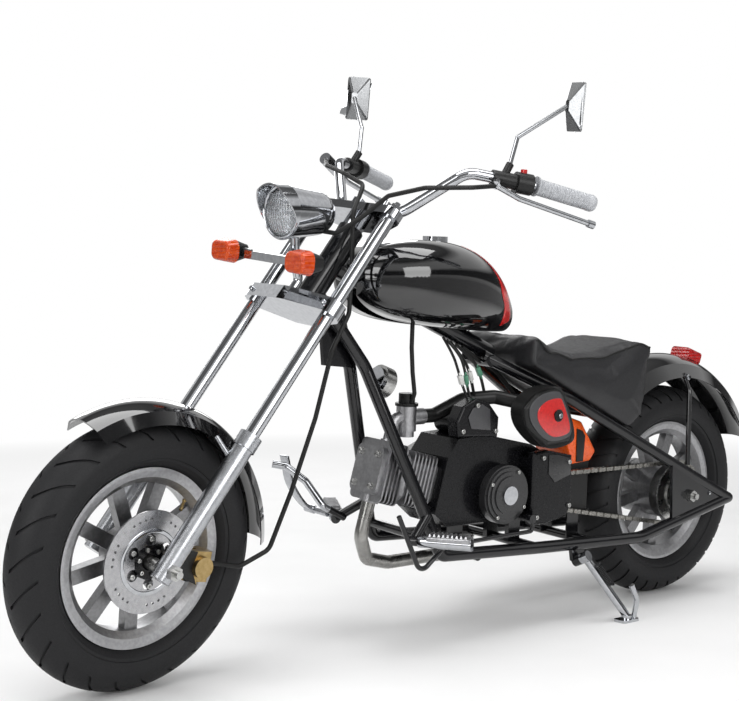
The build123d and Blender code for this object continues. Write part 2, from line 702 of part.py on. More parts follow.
with BuildSketch() as chain_line:
    with BuildSketch(mode=Mode.PRIVATE) as pulleys:
        with Locations((0, TYRE_RADIUS)):
            Circle(rear_pitch_radius)
        with Locations((-FRONT_SPROCKET_X, FRONT_SPROCKET_Z)):
            Circle(front_pitch_radius)
    make_hull(pulleys.sketch.edges())
chain_path = chain_line.face().outer_wire()
link_count = 2 * round(chain_path.length / CHAIN_PITCH / 2)
pins = [chain_path @ (index / link_count) for index in range(link_count)]


def link_outline(start, end):
    """One link seen from the side: round both pins and narrower at its waist."""
    half = CHAIN_HEIGHT / 2
    span = (end - start).length
    along = (end - start).normalized()
    across = Vector(-along.Y, along.X) * half
    upper = [(-0.9 * half, 0.5), (0, 1), (span / 2, LINK_WAIST), (span, 1), (span + 0.9 * half, 0.5)]
    lower = [(run, -rise) for run, rise in reversed(upper)]
    points = [start + along * run + across * rise for run, rise in upper + lower]
    return [(point.X, point.Y) for point in points]


with BuildPart() as drive_chain:
    # step, half width: every link, then the wider plates of every second one
    for step, half_width in ((1, CHAIN_WIDTH / 2 - PLATE_GAUGE), (2, CHAIN_WIDTH / 2)):
        with BuildSketch(side_plane(CHAIN_Y - half_width)) as plates:
            for index in range(0, link_count, step):
                Polygon(*link_outline(pins[index], pins[(index + 1) % link_count]), align=None)
        extrude(plates.sketch, amount=2 * half_width)

with BuildPart() as brake_plate:
    drum((0, -REAR_HUB_HALF - 3, TYRE_RADIUS), (0, -62, TYRE_RADIUS), REAR_HUB_RADIUS)
    drum((0, -62, TYRE_RADIUS), (0, -PLATE_Y + PLATE_THICKNESS / 2 + SEAT_GAP, TYRE_RADIUS), 16)
    drum((0, 0, TYRE_RADIUS), (0, -PLATE_Y, TYRE_RADIUS), AXLE_RADIUS + FIT, mode=Mode.SUBTRACT)

with BuildPart() as horn:
    drum((842, 0, 536), (866, 0, 545), 32)
    drum((866, 0, 545), (872, 0, 547), 26)
    tube([(860, 2, 540), (893.6, 25.9, 537.2)], 4)

# Steering: stem, clamps, legs, front bodywork, lamps and bars
def clamp_plate(level, height, rounds):
    """A clamp plate drawn round its legs, stem and risers: each round is forward, left, radius."""
    with BuildSketch(FORK.offset(level)) as plate:
        with BuildSketch(mode=Mode.PRIVATE) as bosses:
            for forward, left, radius in rounds:
                with Locations((forward, left), (forward, -left)):
                    Circle(radius)
        make_hull(bosses.sketch.edges())
    extrude(plate.sketch, amount=height)


with BuildPart() as steering_stem:
    clamp_plate(CLAMP_LOW, CLAMP_HIGH - CLAMP_LOW, LOWER_CLAMP_ROUNDS)
    drum(fork_point(0, 0, CLAMP_HIGH), fork_point(0, 0, TOP_CLAMP_LOW - SEAT_GAP), STEM_RADIUS)
    drum(fork_point(0, 0, CLAMP_HIGH), fork_point(0, 0, HEAD_LOW - SEAT_GAP), 24)
    drum(fork_point(0, 0, HEAD_HIGH + SEAT_GAP), fork_point(0, 0, TOP_CLAMP_LOW - SEAT_GAP), 22)
    for _, side in SIDES:
        drum(
            fork_point(FORK_OFFSET, side * LEG_SPREAD, CLAMP_LOW),
            fork_point(FORK_OFFSET, side * LEG_SPREAD, CLAMP_HIGH),
            STANCHION_RADIUS + FIT,
            mode=Mode.SUBTRACT,
        )

with BuildPart() as top_clamp:
    clamp_plate(TOP_CLAMP_LOW, TOP_CLAMP_HIGH - TOP_CLAMP_LOW, TOP_CLAMP_ROUNDS)
    for _, side in SIDES:
        with BuildSketch(FORK.offset(TOP_CLAMP_HIGH)) as riser:
            with Locations((BAR_CLAMP[0], side * RISER_Y)):
                RectangleRounded(34, 24, 6)
        extrude(riser.sketch, amount=BAR_CLAMP[2] + BAR_RADIUS + RISER_ROOF - TOP_CLAMP_HIGH)
        drum(
            fork_point(FORK_OFFSET, side * LEG_SPREAD, TOP_CLAMP_LOW),
            fork_point(FORK_OFFSET, side * LEG_SPREAD, TOP_CLAMP_HIGH),
            STANCHION_RADIUS + FIT,
            mode=Mode.SUBTRACT,
        )
    drum(
        fork_point(BAR_CLAMP[0], -90, BAR_CLAMP[2]),
        fork_point(BAR_CLAMP[0], 90, BAR_CLAMP[2]),
        BAR_RADIUS + FIT,
        mode=Mode.SUBTRACT,
    )

with BuildPart() as stanchions:
    for _, side in SIDES:
        drum(
            fork_point(FORK_OFFSET, side * LEG_SPREAD, LOWER_TOP - 120),
            fork_point(FORK_OFFSET, side * LEG_SPREAD, TOP_CLAMP_HIGH + 4),
            STANCHION_RADIUS,
        )

with BuildPart() as fork_lowers:
    for _, side in SIDES:
        leg = Vector(FORK_OFFSET, side * LEG_SPREAD, 0)
        drum(
            fork_point(leg.X, leg.Y, LOWER_BOTTOM), fork_point(leg.X, leg.Y, LOWER_TOP), LOWER_RADIUS
        )
        drum(
            fork_point(leg.X, leg.Y, LOWER_TOP - 28), fork_point(leg.X, leg.Y, LOWER_TOP), LOWER_RADIUS + 3
        )
        fender_ear = (WHEELBASE - 120, side * (FRONT_FENDER_HALF + 4.2), TYRE_RADIUS + 220)
        tube([fork_point(leg.X, side * (LEG_SPREAD - 8), 225), fender_ear], 5)
        drum(
            fork_point(leg.X, leg.Y, LOWER_TOP - 121),
            fork_point(leg.X, leg.Y, LOWER_TOP),
            STANCHION_RADIUS + FIT,
            mode=Mode.SUBTRACT,
        )
        drum(
            (WHEELBASE, side * (LEG_SPREAD - 30), TYRE_RADIUS),
            (WHEELBASE, side * (LEG_SPREAD + 30), TYRE_RADIUS),
            AXLE_RADIUS + FIT,
            mode=Mode.SUBTRACT,
        )

with BuildPart() as front_axle_bar:
    reach = LEG_SPREAD + LOWER_RADIUS + SEAT_GAP + NUT_HEIGHT + AXLE_STUB
    drum((WHEELBASE, -reach, TYRE_RADIUS), (WHEELBASE, reach, TYRE_RADIUS), AXLE_RADIUS)
    for _, side in SIDES:
        nut_face = side * (LEG_SPREAD + LOWER_RADIUS + SEAT_GAP)
        with BuildSketch(Plane(origin=(WHEELBASE, nut_face, TYRE_RADIUS), z_dir=(0, side, 0))) as nut:
            RegularPolygon(NUT_RADIUS, 6)
        extrude(nut.sketch, amount=NUT_HEIGHT)
        drum(
            (WHEELBASE, side * (LEG_SPREAD - LOWER_RADIUS - SEAT_GAP), TYRE_RADIUS),
            (WHEELBASE, side * (FRONT_HUB_HALF + SEAT_GAP), TYRE_RADIUS),
            SPACER_RADIUS,
        )

with BuildPart() as front_fender:
    fender(front_axle, FRONT_FENDER_RADIUS, FRONT_FENDER_HALF, FRONT_FENDER_DROP, FRONT_FENDER_SPAN)

caliper_radial = radial_plane(front_axle, CALIPER_ANGLE)
with BuildPart() as brake_caliper:
    with BuildSketch(caliper_radial.offset(-28)):
        with Locations((DISC_Y, 98)):
            RectangleRounded(44, 52, 6)
    extrude(amount=56)
    with BuildSketch(caliper_radial.offset(-30)):
        with Locations((DISC_Y, DISC_RADIUS - 20)):
            Rectangle(DISC_THICKNESS + 6, 52)
    extrude(amount=60, mode=Mode.SUBTRACT)
    piston = caliper_radial.from_local_coords(Vector(DISC_Y + 20, 100, 0))
    drum(piston, piston + Vector(0, 14, 0), 20)
    bracket = [(-90, -50), (-32, -18), (-18, 6), (-22, 30), (-90, 12)]
    slab([(WHEELBASE + x, TYRE_RADIUS + z) for x, z in bracket], 68, 76)
    drum((WHEELBASE - 22, 70, TYRE_RADIUS + 14), (WHEELBASE - 22, LEG_SPREAD - 10, TYRE_RADIUS + 14), 8)
    add(fork_lowers.part, mode=Mode.SUBTRACT)

lamp_front = fork_point(*LAMP_PLACE)
cone_slope = (LAMP_RADIUS - LAMP_WAIST) / LAMP_CONE
lamp_ball = LAMP_WAIST * cone_slope - LAMP_CONE
ball_radius = LAMP_WAIST * hypot(1, cone_slope)
lamp_turn = 90 - degrees(atan(cone_slope))
lens_edge = LAMP_RADIUS - 5 - SEAT_GAP
dome_radius = (lens_edge**2 + LENS_DOME**2) / (2 * LENS_DOME)
dome_turn = degrees(asin(lens_edge / dome_radius))
lamp_plane = Plane(origin=lamp_front, x_dir=(1, 0, 0), z_dir=(0, -1, 0))
with BuildPart() as headlamp:
    with BuildSketch(lamp_plane) as shell:
        with BuildLine():
            Polyline(
                (-6, 0), (-6, LAMP_RADIUS - 5), (0, LAMP_RADIUS - 5), (0, LAMP_RADIUS), (-LAMP_CONE, LAMP_WAIST)
            )
            CenterArc((lamp_ball, 0), ball_radius, 180 - lamp_turn, lamp_turn)
            Line((lamp_ball - ball_radius, 0), (-6, 0))
        make_face()
    revolve(shell.sketch, axis=Axis(lamp_front, (1, 0, 0)))
    with BuildSketch(Plane(origin=lamp_front, x_dir=(0, 1, 0), z_dir=(1, 0, 0))) as brow:
        Circle(LAMP_RADIUS)
        Circle(LAMP_RADIUS - 3, mode=Mode.SUBTRACT)
    extrude(brow.sketch, amount=34)
    brow_cut = [(0.5, -60), (0.5, -22), (36, 40), (36, -60)]
    slab([(lamp_front.X + x, lamp_front.Z + z) for x, z in brow_cut], -60, 60, mode=Mode.SUBTRACT)

with BuildPart() as headlamp_lens:
    with BuildSketch(lamp_plane) as glass:
        with BuildLine():
            CenterArc((LENS_DOME - dome_radius, 0), dome_radius, 0, dome_turn)
            Polyline((0, lens_edge), (SEAT_GAP - 6, lens_edge), (SEAT_GAP - 6, 0), (LENS_DOME, 0))
        make_face()
    revolve(glass.sketch, axis=Axis(lamp_front, (1, 0, 0)))

signal = fork_point(*SIGNAL_PLACE)
with BuildPart() as signal_bar:
    pillar = fork_point(42, 0, CLAMP_HIGH + SEAT_GAP)
    beam = Vector(signal.X - 16, 0, signal.Z - 3)
    tube([pillar, pillar + fork_up * 24, beam - Vector(60, 0, 7), lamp_front - Vector(34, 0, 38)], 9, bend=14)
    # back, front, half height, half width of the bracket's tongue and of its cross plate
    for back, front, rise, half in ((56, 0, 4, 12), (9, 9, 8, 70)):
        low, high = beam.Z - rise, beam.Z + rise
        rear, lead = beam.X - back, beam.X + front
        slab([(rear, low), (lead, low), (lead, high), (rear, high)], -half, half)
    for _, side in SIDES:
        drum((beam.X, side * 62, beam.Z + 1), (beam.X - 3, side * (signal.Y - 22), beam.Z + 3), 9)
        shell_plane = Plane(origin=(signal.X - 2, side * signal.Y, signal.Z), x_dir=(0, 1, 0), z_dir=(-1, 0, 0))
        with BuildSketch(shell_plane) as shell:
            RectangleRounded(SIGNAL_WIDTH - 2, SIGNAL_HEIGHT - 2, 17)
        extrude(shell.sketch, amount=30, taper=16)
    add(headlamp.part, mode=Mode.SUBTRACT)

with BuildPart() as signal_lenses:
    for _, side in SIDES:
        lens_plane = Plane(
            origin=(signal.X - 2 + SEAT_GAP, side * signal.Y, signal.Z), x_dir=(0, 1, 0), z_dir=(1, 0, 0)
        )
        with BuildSketch(lens_plane) as lens:
            RectangleRounded(SIGNAL_WIDTH, SIGNAL_HEIGHT, 17)
        extrude(lens.sketch, amount=26, taper=9)
    fillet(signal_lenses.faces().sort_by(Axis.X)[-2:].edges(), 6)

with BuildPart() as handlebar:
    left_half = [BAR_CLAMP, BAR_HUMP, GRIP_START, GRIP_END]
    bar_route = [fork_point(*mirrored(p)) for p in reversed(left_half)] + [fork_point(*p) for p in left_half]
    tube(bar_route, BAR_RADIUS, bend=BAR_BEND_RADIUS)

grip_line = (Vector(*GRIP_END) - Vector(*GRIP_START)).normalized()
with BuildPart() as grips:
    for _, side in SIDES:
        way = Vector(grip_line.X, side * grip_line.Y, grip_line.Z)
        start = Vector(GRIP_START[0], side * GRIP_START[1], GRIP_START[2]) + way * 12
        end = Vector(GRIP_END[0], side * GRIP_END[1], GRIP_END[2]) + way * 6
        drum(fork_point(*start), fork_point(*end), GRIP_RADIUS)
    add(handlebar.part, mode=Mode.SUBTRACT)


def sided_point(place, side):
    """A place on the fork, on the left or mirrored to the right."""
    forward, left, up = place
    return fork_point(forward, side * left, up)


def control_set(side):
    """A housing and a perch on one sleeve round the bar, just inside a grip, with the lever."""
    drum(sleeve_point(-22, side), sleeve_point(SLEEVE_END, side), SLEEVE_RADIUS)
    drum(sleeve_point(SLEEVE_END - CONTROL_LENGTH, side), sleeve_point(SLEEVE_END, side), CONTROL_RADIUS)
    drum(sleeve_point(-8, side), sided_point(LEVER_PIVOT, side), 9)
    knee, tip = sided_point(LEVER_KNEE, side), sided_point(LEVER_TIP, side)
    blade = (tip - knee).normalized()
    drum(sided_point(LEVER_PIVOT, side), knee + blade * 2, LEVER_RADIUS)
    drum(knee, tip, LEVER_RADIUS)
    drum(tip - blade * 7, tip + blade * 7, LEVER_RADIUS + 2.5)
    drum(sleeve_point(-24, side), sleeve_point(SLEEVE_END + 2, side), BAR_RADIUS + SEAT_GAP, mode=Mode.SUBTRACT)


def sleeve_point(distance, side):
    """A point on the bar's upper run, counted from the mirror's foot towards the grip."""
    run = (Vector(*GRIP_START) - Vector(*BAR_HUMP)).normalized()
    return sided_point(Vector(*BAR_HUMP) + run * (MIRROR_FOOT + distance), side)


with BuildPart() as left_controls:
    control_set(1)

with BuildPart() as right_controls:
    control_set(-1)
    drum(sided_point(LEVER_PIVOT, -1), sided_point(MASTER_CYLINDER, -1), 13)

with BuildPart() as mirrors:
    for _, side in SIDES:
        foot = sleeve_point(0, side)
        boot, knee, head = [sided_point(place, side) for place in (MIRROR_BOOT, MIRROR_KNEE, MIRROR_HEAD)]
        drum(foot, boot, 8)
        for start, end in ((boot, knee), (knee, head)):
            drum(start, end, MIRROR_STEM)
        with Locations(knee):
            Sphere(MIRROR_STEM + 0.2)
        facing = Plane(origin=head, x_dir=(-0.62, -side * 0.78, 0), z_dir=(0.78, -side * 0.62, 0))
        back = facing.rotated((0, 0, MIRROR_TWIST * side))
        with BuildSketch(back.offset(-MIRROR_GLASS - MIRROR_DEPTH)) as rim:
            RectangleRounded(MIRROR_WIDTH, MIRROR_HEIGHT, MIRROR_CORNER)
        extrude(rim.sketch, amount=MIRROR_GLASS)
        with BuildSketch(back.offset(-MIRROR_DEPTH)) as base:
            RectangleRounded(MIRROR_WIDTH, MIRROR_HEIGHT, MIRROR_CORNER)
        with BuildSketch(back) as peak:
            RectangleRounded(MIRROR_WIDTH / 4, MIRROR_HEIGHT / 4, MIRROR_CORNER - 1)
        loft([base.sketch.face(), peak.sketch.face()])
        drum(sleeve_point(-24, side), sleeve_point(24, side), SLEEVE_RADIUS + SEAT_GAP, mode=Mode.SUBTRACT)

with BuildPart() as brake_hose:
    tube([fork_point(*point) for point in HOSE], HOSE_RADIUS, bend=24)
    add(brake_caliper.part, mode=Mode.SUBTRACT)
    add(right_controls.part, mode=Mode.SUBTRACT)

with BuildPart() as control_cables:
    tube([fork_point(*point) for point in CABLES], HOSE_RADIUS, bend=12)
    add(headlamp.part, mode=Mode.SUBTRACT)
    add(left_controls.part, mode=Mode.SUBTRACT)

# Wheels
with BuildPart() as front_tyre:
    tyre(front_axle, FRONT_TYRE_WIDTH, FRONT_RIM_HALF)

with BuildPart() as front_rim:
    cast_wheel(front_axle, FRONT_RIM_HALF, FRONT_HUB_RADIUS, FRONT_HUB_HALF)

with BuildPart() as front_disc:
    with BuildSketch(Plane(origin=(WHEELBASE, DISC_Y - DISC_THICKNESS / 2, TYRE_RADIUS), z_dir=(0, 1, 0))):
        Circle(DISC_RADIUS)
        Circle(AXLE_RADIUS + 8, mode=Mode.SUBTRACT)
        with PolarLocations(40, CARRIER_CUTS):
            Circle(11, mode=Mode.SUBTRACT)
        for group in range(DISC_HOLE_GROUPS):
            with PolarLocations(
                78, DISC_HOLES, start_angle=group * 360 / DISC_HOLE_GROUPS, angular_range=28, endpoint=True
            ):
                Circle(DISC_HOLE_RADIUS, mode=Mode.SUBTRACT)
    extrude(amount=DISC_THICKNESS)
    drum(
        (WHEELBASE, FRONT_HUB_HALF + SEAT_GAP, TYRE_RADIUS),
        (WHEELBASE, DISC_Y, TYRE_RADIUS),
        30,
    )
    drum(
        (WHEELBASE, FRONT_HUB_HALF, TYRE_RADIUS),
        (WHEELBASE, DISC_Y + 10, TYRE_RADIUS),
        AXLE_RADIUS + 8,
        mode=Mode.SUBTRACT,
    )

with BuildPart() as rear_tyre:
    tyre(rear_axle_centre, REAR_TYRE_WIDTH, REAR_RIM_HALF)

with BuildPart() as rear_rim:
    cast_wheel(rear_axle_centre, REAR_RIM_HALF, REAR_HUB_RADIUS, REAR_HUB_HALF)

# Side stand: a bent leg on a slanted pivot, its foot flat on the ground of the leaning machine
with BuildPart() as side_stand:
    half_hub = stand_axis * (STAND_HUB / 2)
    drum(stand_pivot - half_hub, stand_pivot + half_hub, STAND_HUB_RADIUS)
    tube([stand_pivot, stand_foot + ground.z_dir * 12], 9)
    with BuildSketch(ground) as pad:
        RectangleRounded(52, 34, 8)
    extrude(pad.sketch, amount=6)
    drum(stand_foot + ground.z_dir * 3, stand_foot + ground.z_dir * 14, 12)
    paddle_root = stand_foot + Vector(-16, 6, 4)
    tube([paddle_root, paddle_root + Vector(-4, 4, 42), paddle_root + Vector(14, 2, 78)], 6, bend=16)

# label, piece, whether it turns with the bars
PIECES = (
    ("frame", frame, False),
    ("rear_axle", rear_axle, False),
    ("crankcase", crankcase, False),
    ("cylinder", cylinder, False),
    ("magneto_cover", magneto_cover, False),
    ("sprocket_cover", sprocket_cover, False),
    ("starter_cover", starter_cover, False),
    ("clutch_cover", clutch_cover, False),
    ("carburettor", carburettor, False),
    ("air_filter", air_filter, False),
    ("battery", battery, False),
    ("exhaust", exhaust, False),
    ("fuel_tank", fuel_tank, False),
    ("fuel_cap", fuel_cap, False),
    ("fuel_hose", fuel_hose, False),
    ("seat", seat, False),
    ("rear_fender", rear_fender, False),
    ("tail_lamp", tail_lamp, False),
    ("foot_pegs", foot_pegs, False),
    ("brake_pedal", brake_pedal, False),
    ("shift_linkage", shift_linkage, False),
    ("drive_chain", drive_chain, False),
    ("brake_plate", brake_plate, False),
    ("horn", horn, False),
    ("steering_stem", steering_stem, True),
    ("top_clamp", top_clamp, True),
    ("stanchions", stanchions, True),
    ("fork_lowers", fork_lowers, True),
    ("front_axle", front_axle_bar, True),
    ("front_fender", front_fender, True),
    ("brake_caliper", brake_caliper, True),
    ("headlamp", headlamp, True),
    ("headlamp_lens", headlamp_lens, True),
    ("signal_bar", signal_bar, True),
    ("signal_lenses", signal_lenses, True),
    ("handlebar", handlebar, True),
    ("grips", grips, True),
    ("left_controls", left_controls, True),
    ("right_controls", right_controls, True),
    ("mirrors", mirrors, True),
    ("brake_hose", brake_hose, True),
    ("control_cables", control_cables, True),
    ("front_tyre", front_tyre, True),
    ("front_rim", front_rim, True),
    ("front_disc", front_disc, True),
    ("rear_tyre", rear_tyre, False),
    ("rear_rim", rear_rim, False),
    ("rear_sprocket", rear_sprocket, False),
    ("side_stand", side_stand, False),
)

# Parked: bars turned, then the whole machine leant over and its box's bottom centre put at the origin
steering_axis = Axis(FORK.origin, FORK.z_dir)
for label, piece, turns in PIECES:
    if turns:
        piece.part = piece.part.rotate(steering_axis, STEER_REST)
    piece.part = piece.part.rotate(Axis.X, -LEAN)
box = Compound(children=[Compound(piece.part.solids()) for _, piece, _ in PIECES]).bounding_box()
parked_shift = Vector(-(box.min.X + box.max.X) / 2, -(box.min.Y + box.max.Y) / 2, -box.min.Z)

os.makedirs("parts", exist_ok=True)
for label, piece, _ in PIECES:
    piece.part = piece.part.translate(parked_shift)
    piece.part.label = label
    export_step(piece.part, f"parts/{label}.step")
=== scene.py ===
import json
import math

import bpy
from mathutils import Matrix, Vector


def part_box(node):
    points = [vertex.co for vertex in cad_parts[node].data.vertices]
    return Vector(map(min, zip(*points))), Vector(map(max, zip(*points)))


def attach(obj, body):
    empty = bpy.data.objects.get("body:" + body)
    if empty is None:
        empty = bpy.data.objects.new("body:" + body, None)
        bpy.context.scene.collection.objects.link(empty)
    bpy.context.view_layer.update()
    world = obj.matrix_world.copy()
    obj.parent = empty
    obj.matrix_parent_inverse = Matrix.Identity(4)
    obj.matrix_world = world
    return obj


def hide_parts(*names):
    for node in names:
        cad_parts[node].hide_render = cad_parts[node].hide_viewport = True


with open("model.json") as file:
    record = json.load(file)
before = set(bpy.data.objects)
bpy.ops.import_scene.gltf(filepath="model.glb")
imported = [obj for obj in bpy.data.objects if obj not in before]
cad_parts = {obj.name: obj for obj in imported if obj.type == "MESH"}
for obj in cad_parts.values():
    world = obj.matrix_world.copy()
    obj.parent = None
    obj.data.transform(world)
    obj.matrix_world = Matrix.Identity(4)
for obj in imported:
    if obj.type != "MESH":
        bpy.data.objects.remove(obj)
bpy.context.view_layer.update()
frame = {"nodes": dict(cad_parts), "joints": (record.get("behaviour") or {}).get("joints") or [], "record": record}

nodes = frame["nodes"]
joints = {joint["name"]: joint for joint in frame["joints"]}

# The parked stance: pieces are modelled on an upright machine, rear axle over the origin, in metres
WHEEL_RADIUS = 0.250
WHEELBASE = 1.420
STEER = math.radians(7)
rear_spin = joints["rear_wheel_spin"]
LEAN = math.atan2(-rear_spin["axis"][2], rear_spin["axis"][1])
rear_hub = Matrix.Translation(Vector(rear_spin["pos_m"]))
UPRIGHT = rear_hub @ Matrix.Rotation(-LEAN, 4, "X") @ Matrix.Translation((0, 0, -WHEEL_RADIUS))
head_point = Vector(joints["steering"]["pos_m"])
head_axis = Vector(joints["steering"]["axis"]).normalized()
head_turn = Matrix.Rotation(STEER, 4, head_axis)
STEERED = Matrix.Translation(head_point) @ head_turn @ Matrix.Translation(-head_point) @ UPRIGHT


# Finishes
METAL_SMUDGE = 0.27
COAT_SMUDGE = 0.4
COAT_ROUGHNESS = 0.03
COAT_RELIEF = 0.0003
LENS_INDEX = 1.49
LEATHER_CELLS = 620


def new_finish(name):
    """An empty node finish with its shader and the piece's own coordinates."""
    made = bpy.data.materials.new(name)
    made.use_nodes = True
    tree = made.node_tree
    shader = tree.nodes["Principled BSDF"]
    coords = tree.nodes.new("ShaderNodeTexCoord")
    return made, tree, shader, coords.outputs["Object"]


def speckle(tree, coords, scale, detail=4.0, stretch=(1, 1, 1)):
    """Noise over the surface, its grain set by scale and drawn out by stretch."""
    mapping = tree.nodes.new("ShaderNodeMapping")
    mapping.inputs["Scale"].default_value = stretch
    tree.links.new(coords, mapping.inputs["Vector"])
    noise = tree.nodes.new("ShaderNodeTexNoise")
    noise.inputs["Scale"].default_value = scale
    noise.inputs["Detail"].default_value = detail
    tree.links.new(mapping.outputs["Vector"], noise.inputs["Vector"])
    return noise.outputs["Fac"]


def ranged(tree, value, low, high, start=0.3, end=0.7):
    """A value spread between low and high."""
    node = tree.nodes.new("ShaderNodeMapRange")
    sockets = ("From Min", "From Max", "To Min", "To Max")
    for socket, number in zip(sockets, (start, end, low, high)):
        node.inputs[socket].default_value = number
    tree.links.new(value, node.inputs["Value"])
    return node.outputs["Result"]


def two_tone(tree, value, dark, light, start=0.35, end=0.65):
    """A colour that runs from dark to light with a value."""
    ramp = tree.nodes.new("ShaderNodeValToRGB")
    ramp.color_ramp.elements[0].position = start
    ramp.color_ramp.elements[1].position = end
    ramp.color_ramp.elements[0].color = (*dark, 1)
    ramp.color_ramp.elements[1].color = (*light, 1)
    tree.links.new(value, ramp.inputs["Fac"])
    return ramp.outputs["Color"]


def bumped(tree, shader, height, strength, distance=0.0004):
    """Surface relief from a height."""
    bump = tree.nodes.new("ShaderNodeBump")
    bump.inputs["Strength"].default_value = strength
    bump.inputs["Distance"].default_value = distance
    tree.links.new(height, bump.inputs["Height"])
    tree.links.new(bump.outputs["Normal"], shader.inputs["Normal"])


def metal_finish(name, dark, light, rough, grain, relief=0.0, relief_grain=900, stretch=(1, 1, 1)):
    """Bare or plated metal: clouded colour, uneven polish and a fine grain."""
    made, tree, shader, coords = new_finish(name)
    shader.inputs["Metallic"].default_value = 1.0
    tone = speckle(tree, coords, grain, 5, stretch)
    tree.links.new(two_tone(tree, tone, dark, light), shader.inputs["Base Color"])
    smudge = speckle(tree, coords, grain * METAL_SMUDGE, 3)
    tree.links.new(ranged(tree, smudge, *rough), shader.inputs["Roughness"])
    if relief:
        bumped(tree, shader, speckle(tree, coords, relief_grain, 3, stretch), relief)
    return made


def coated_finish(name, dark, light, rough, grain, coat=0.0, relief=0.0, relief_grain=500, shine=0.5):
    """Paint, plastic or rubber: a body colour with uneven gloss under an optional clear coat."""
    made, tree, shader, coords = new_finish(name)
    tone = speckle(tree, coords, grain, 5)
    tree.links.new(two_tone(tree, tone, dark, light), shader.inputs["Base Color"])
    smudge = speckle(tree, coords, grain * COAT_SMUDGE, 3)
    tree.links.new(ranged(tree, smudge, *rough), shader.inputs["Roughness"])
    shader.inputs["Specular IOR Level"].default_value = shine
    shader.inputs["Coat Weight"].default_value = coat
    shader.inputs["Coat Roughness"].default_value = COAT_ROUGHNESS
    if relief:
        bumped(tree, shader, speckle(tree, coords, relief_grain, 3), relief, COAT_RELIEF)
    return made


def lens_finish(name, deep, pale, clear, rough, flutes):
    """Moulded lamp lens with upright flutes crossed by fine bars."""
    made, tree, shader, coords = new_finish(name)
    tone = speckle(tree, coords, 120, 3)
    tree.links.new(two_tone(tree, tone, deep, pale), shader.inputs["Base Color"])
    shader.inputs["Roughness"].default_value = rough
    shader.inputs["Transmission Weight"].default_value = clear
    shader.inputs["IOR"].default_value = LENS_INDEX
    both = tree.nodes.new("ShaderNodeMath")
    both.operation = "ADD"
    for socket, axis, scale in ((0, "Y", flutes), (1, "Z", flutes * 0.5)):
        wave = tree.nodes.new("ShaderNodeTexWave")
        wave.bands_direction = axis
        wave.inputs["Scale"].default_value = scale * 0.3
        tree.links.new(coords, wave.inputs["Vector"])
        tree.links.new(wave.outputs["Fac"], both.inputs[socket])
    bumped(tree, shader, both.outputs["Value"], 0.5, 0.0012)
    return made


def leather_finish(name, dark, light, rough):
    """Grained vinyl: small cells pressed into the surface."""
    made, tree, shader, coords = new_finish(name)
    cells = tree.nodes.new("ShaderNodeTexVoronoi")
    cells.feature = "DISTANCE_TO_EDGE"
    cells.inputs["Scale"].default_value = LEATHER_CELLS
    tree.links.new(coords, cells.inputs["Vector"])
    tone = speckle(tree, coords, 260, 4)
    tree.links.new(two_tone(tree, tone, dark, light), shader.inputs["Base Color"])
    smudge = speckle(tree, coords, 90, 3)
    tree.links.new(ranged(tree, smudge, *rough), shader.inputs["Roughness"])
    bumped(tree, shader, cells.outputs["Distance"], 0.5, 0.0008)
    return made


# Metals: dark and light colour, range of roughness, grain of the clouding, then any relief
chrome = metal_finish(
    "bright_chrome", (0.44, 0.45, 0.47), (0.52, 0.53, 0.55), (0.05, 0.10), grain=120)
satin_alloy = metal_finish(
    "satin_alloy", (0.40, 0.41, 0.43), (0.46, 0.47, 0.49), (0.22, 0.30), grain=90,
    relief=0.02, relief_grain=1800)
cast_alloy = metal_finish(
    "cast_alloy", (0.34, 0.34, 0.35), (0.42, 0.42, 0.43), (0.34, 0.46), grain=160,
    relief=0.10, relief_grain=900)
zinc_steel = metal_finish(
    "zinc_steel", (0.44, 0.44, 0.43), (0.52, 0.52, 0.51), (0.22, 0.34), grain=120,
    relief=0.03, relief_grain=1600)
disc_steel = metal_finish(
    "disc_steel", (0.38, 0.38, 0.39), (0.45, 0.45, 0.46), (0.20, 0.30), grain=120,
    relief=0.02, relief_grain=1800, stretch=(1, 0.3, 1))
chain_steel = metal_finish(
    "oiled_chain", (0.16, 0.155, 0.145), (0.42, 0.41, 0.38), (0.26, 0.44), grain=500,
    relief=0.15, relief_grain=1500)
exhaust_steel = metal_finish(
    "exhaust_steel", (0.32, 0.315, 0.30), (0.42, 0.415, 0.40), (0.24, 0.36), grain=60,
    relief=0.03, relief_grain=1200)
gold_alloy = metal_finish(
    "gold_anodised", (0.34, 0.24, 0.10), (0.44, 0.32, 0.15), (0.28, 0.38), grain=120,
    relief=0.04, relief_grain=1200)
mirror_glass = metal_finish(
    "mirror_glass", (0.80, 0.82, 0.84), (0.86, 0.87, 0.89), (0.01, 0.03), grain=60)
mirror_shell = metal_finish(
    "mirror_shell", (0.20, 0.205, 0.21), (0.26, 0.265, 0.27), (0.18, 0.24), grain=300)
spoke_grey = metal_finish(
    "spoke_grey", (0.20, 0.20, 0.205), (0.25, 0.25, 0.255), (0.30, 0.40), grain=160,
    relief=0.06, relief_grain=900)

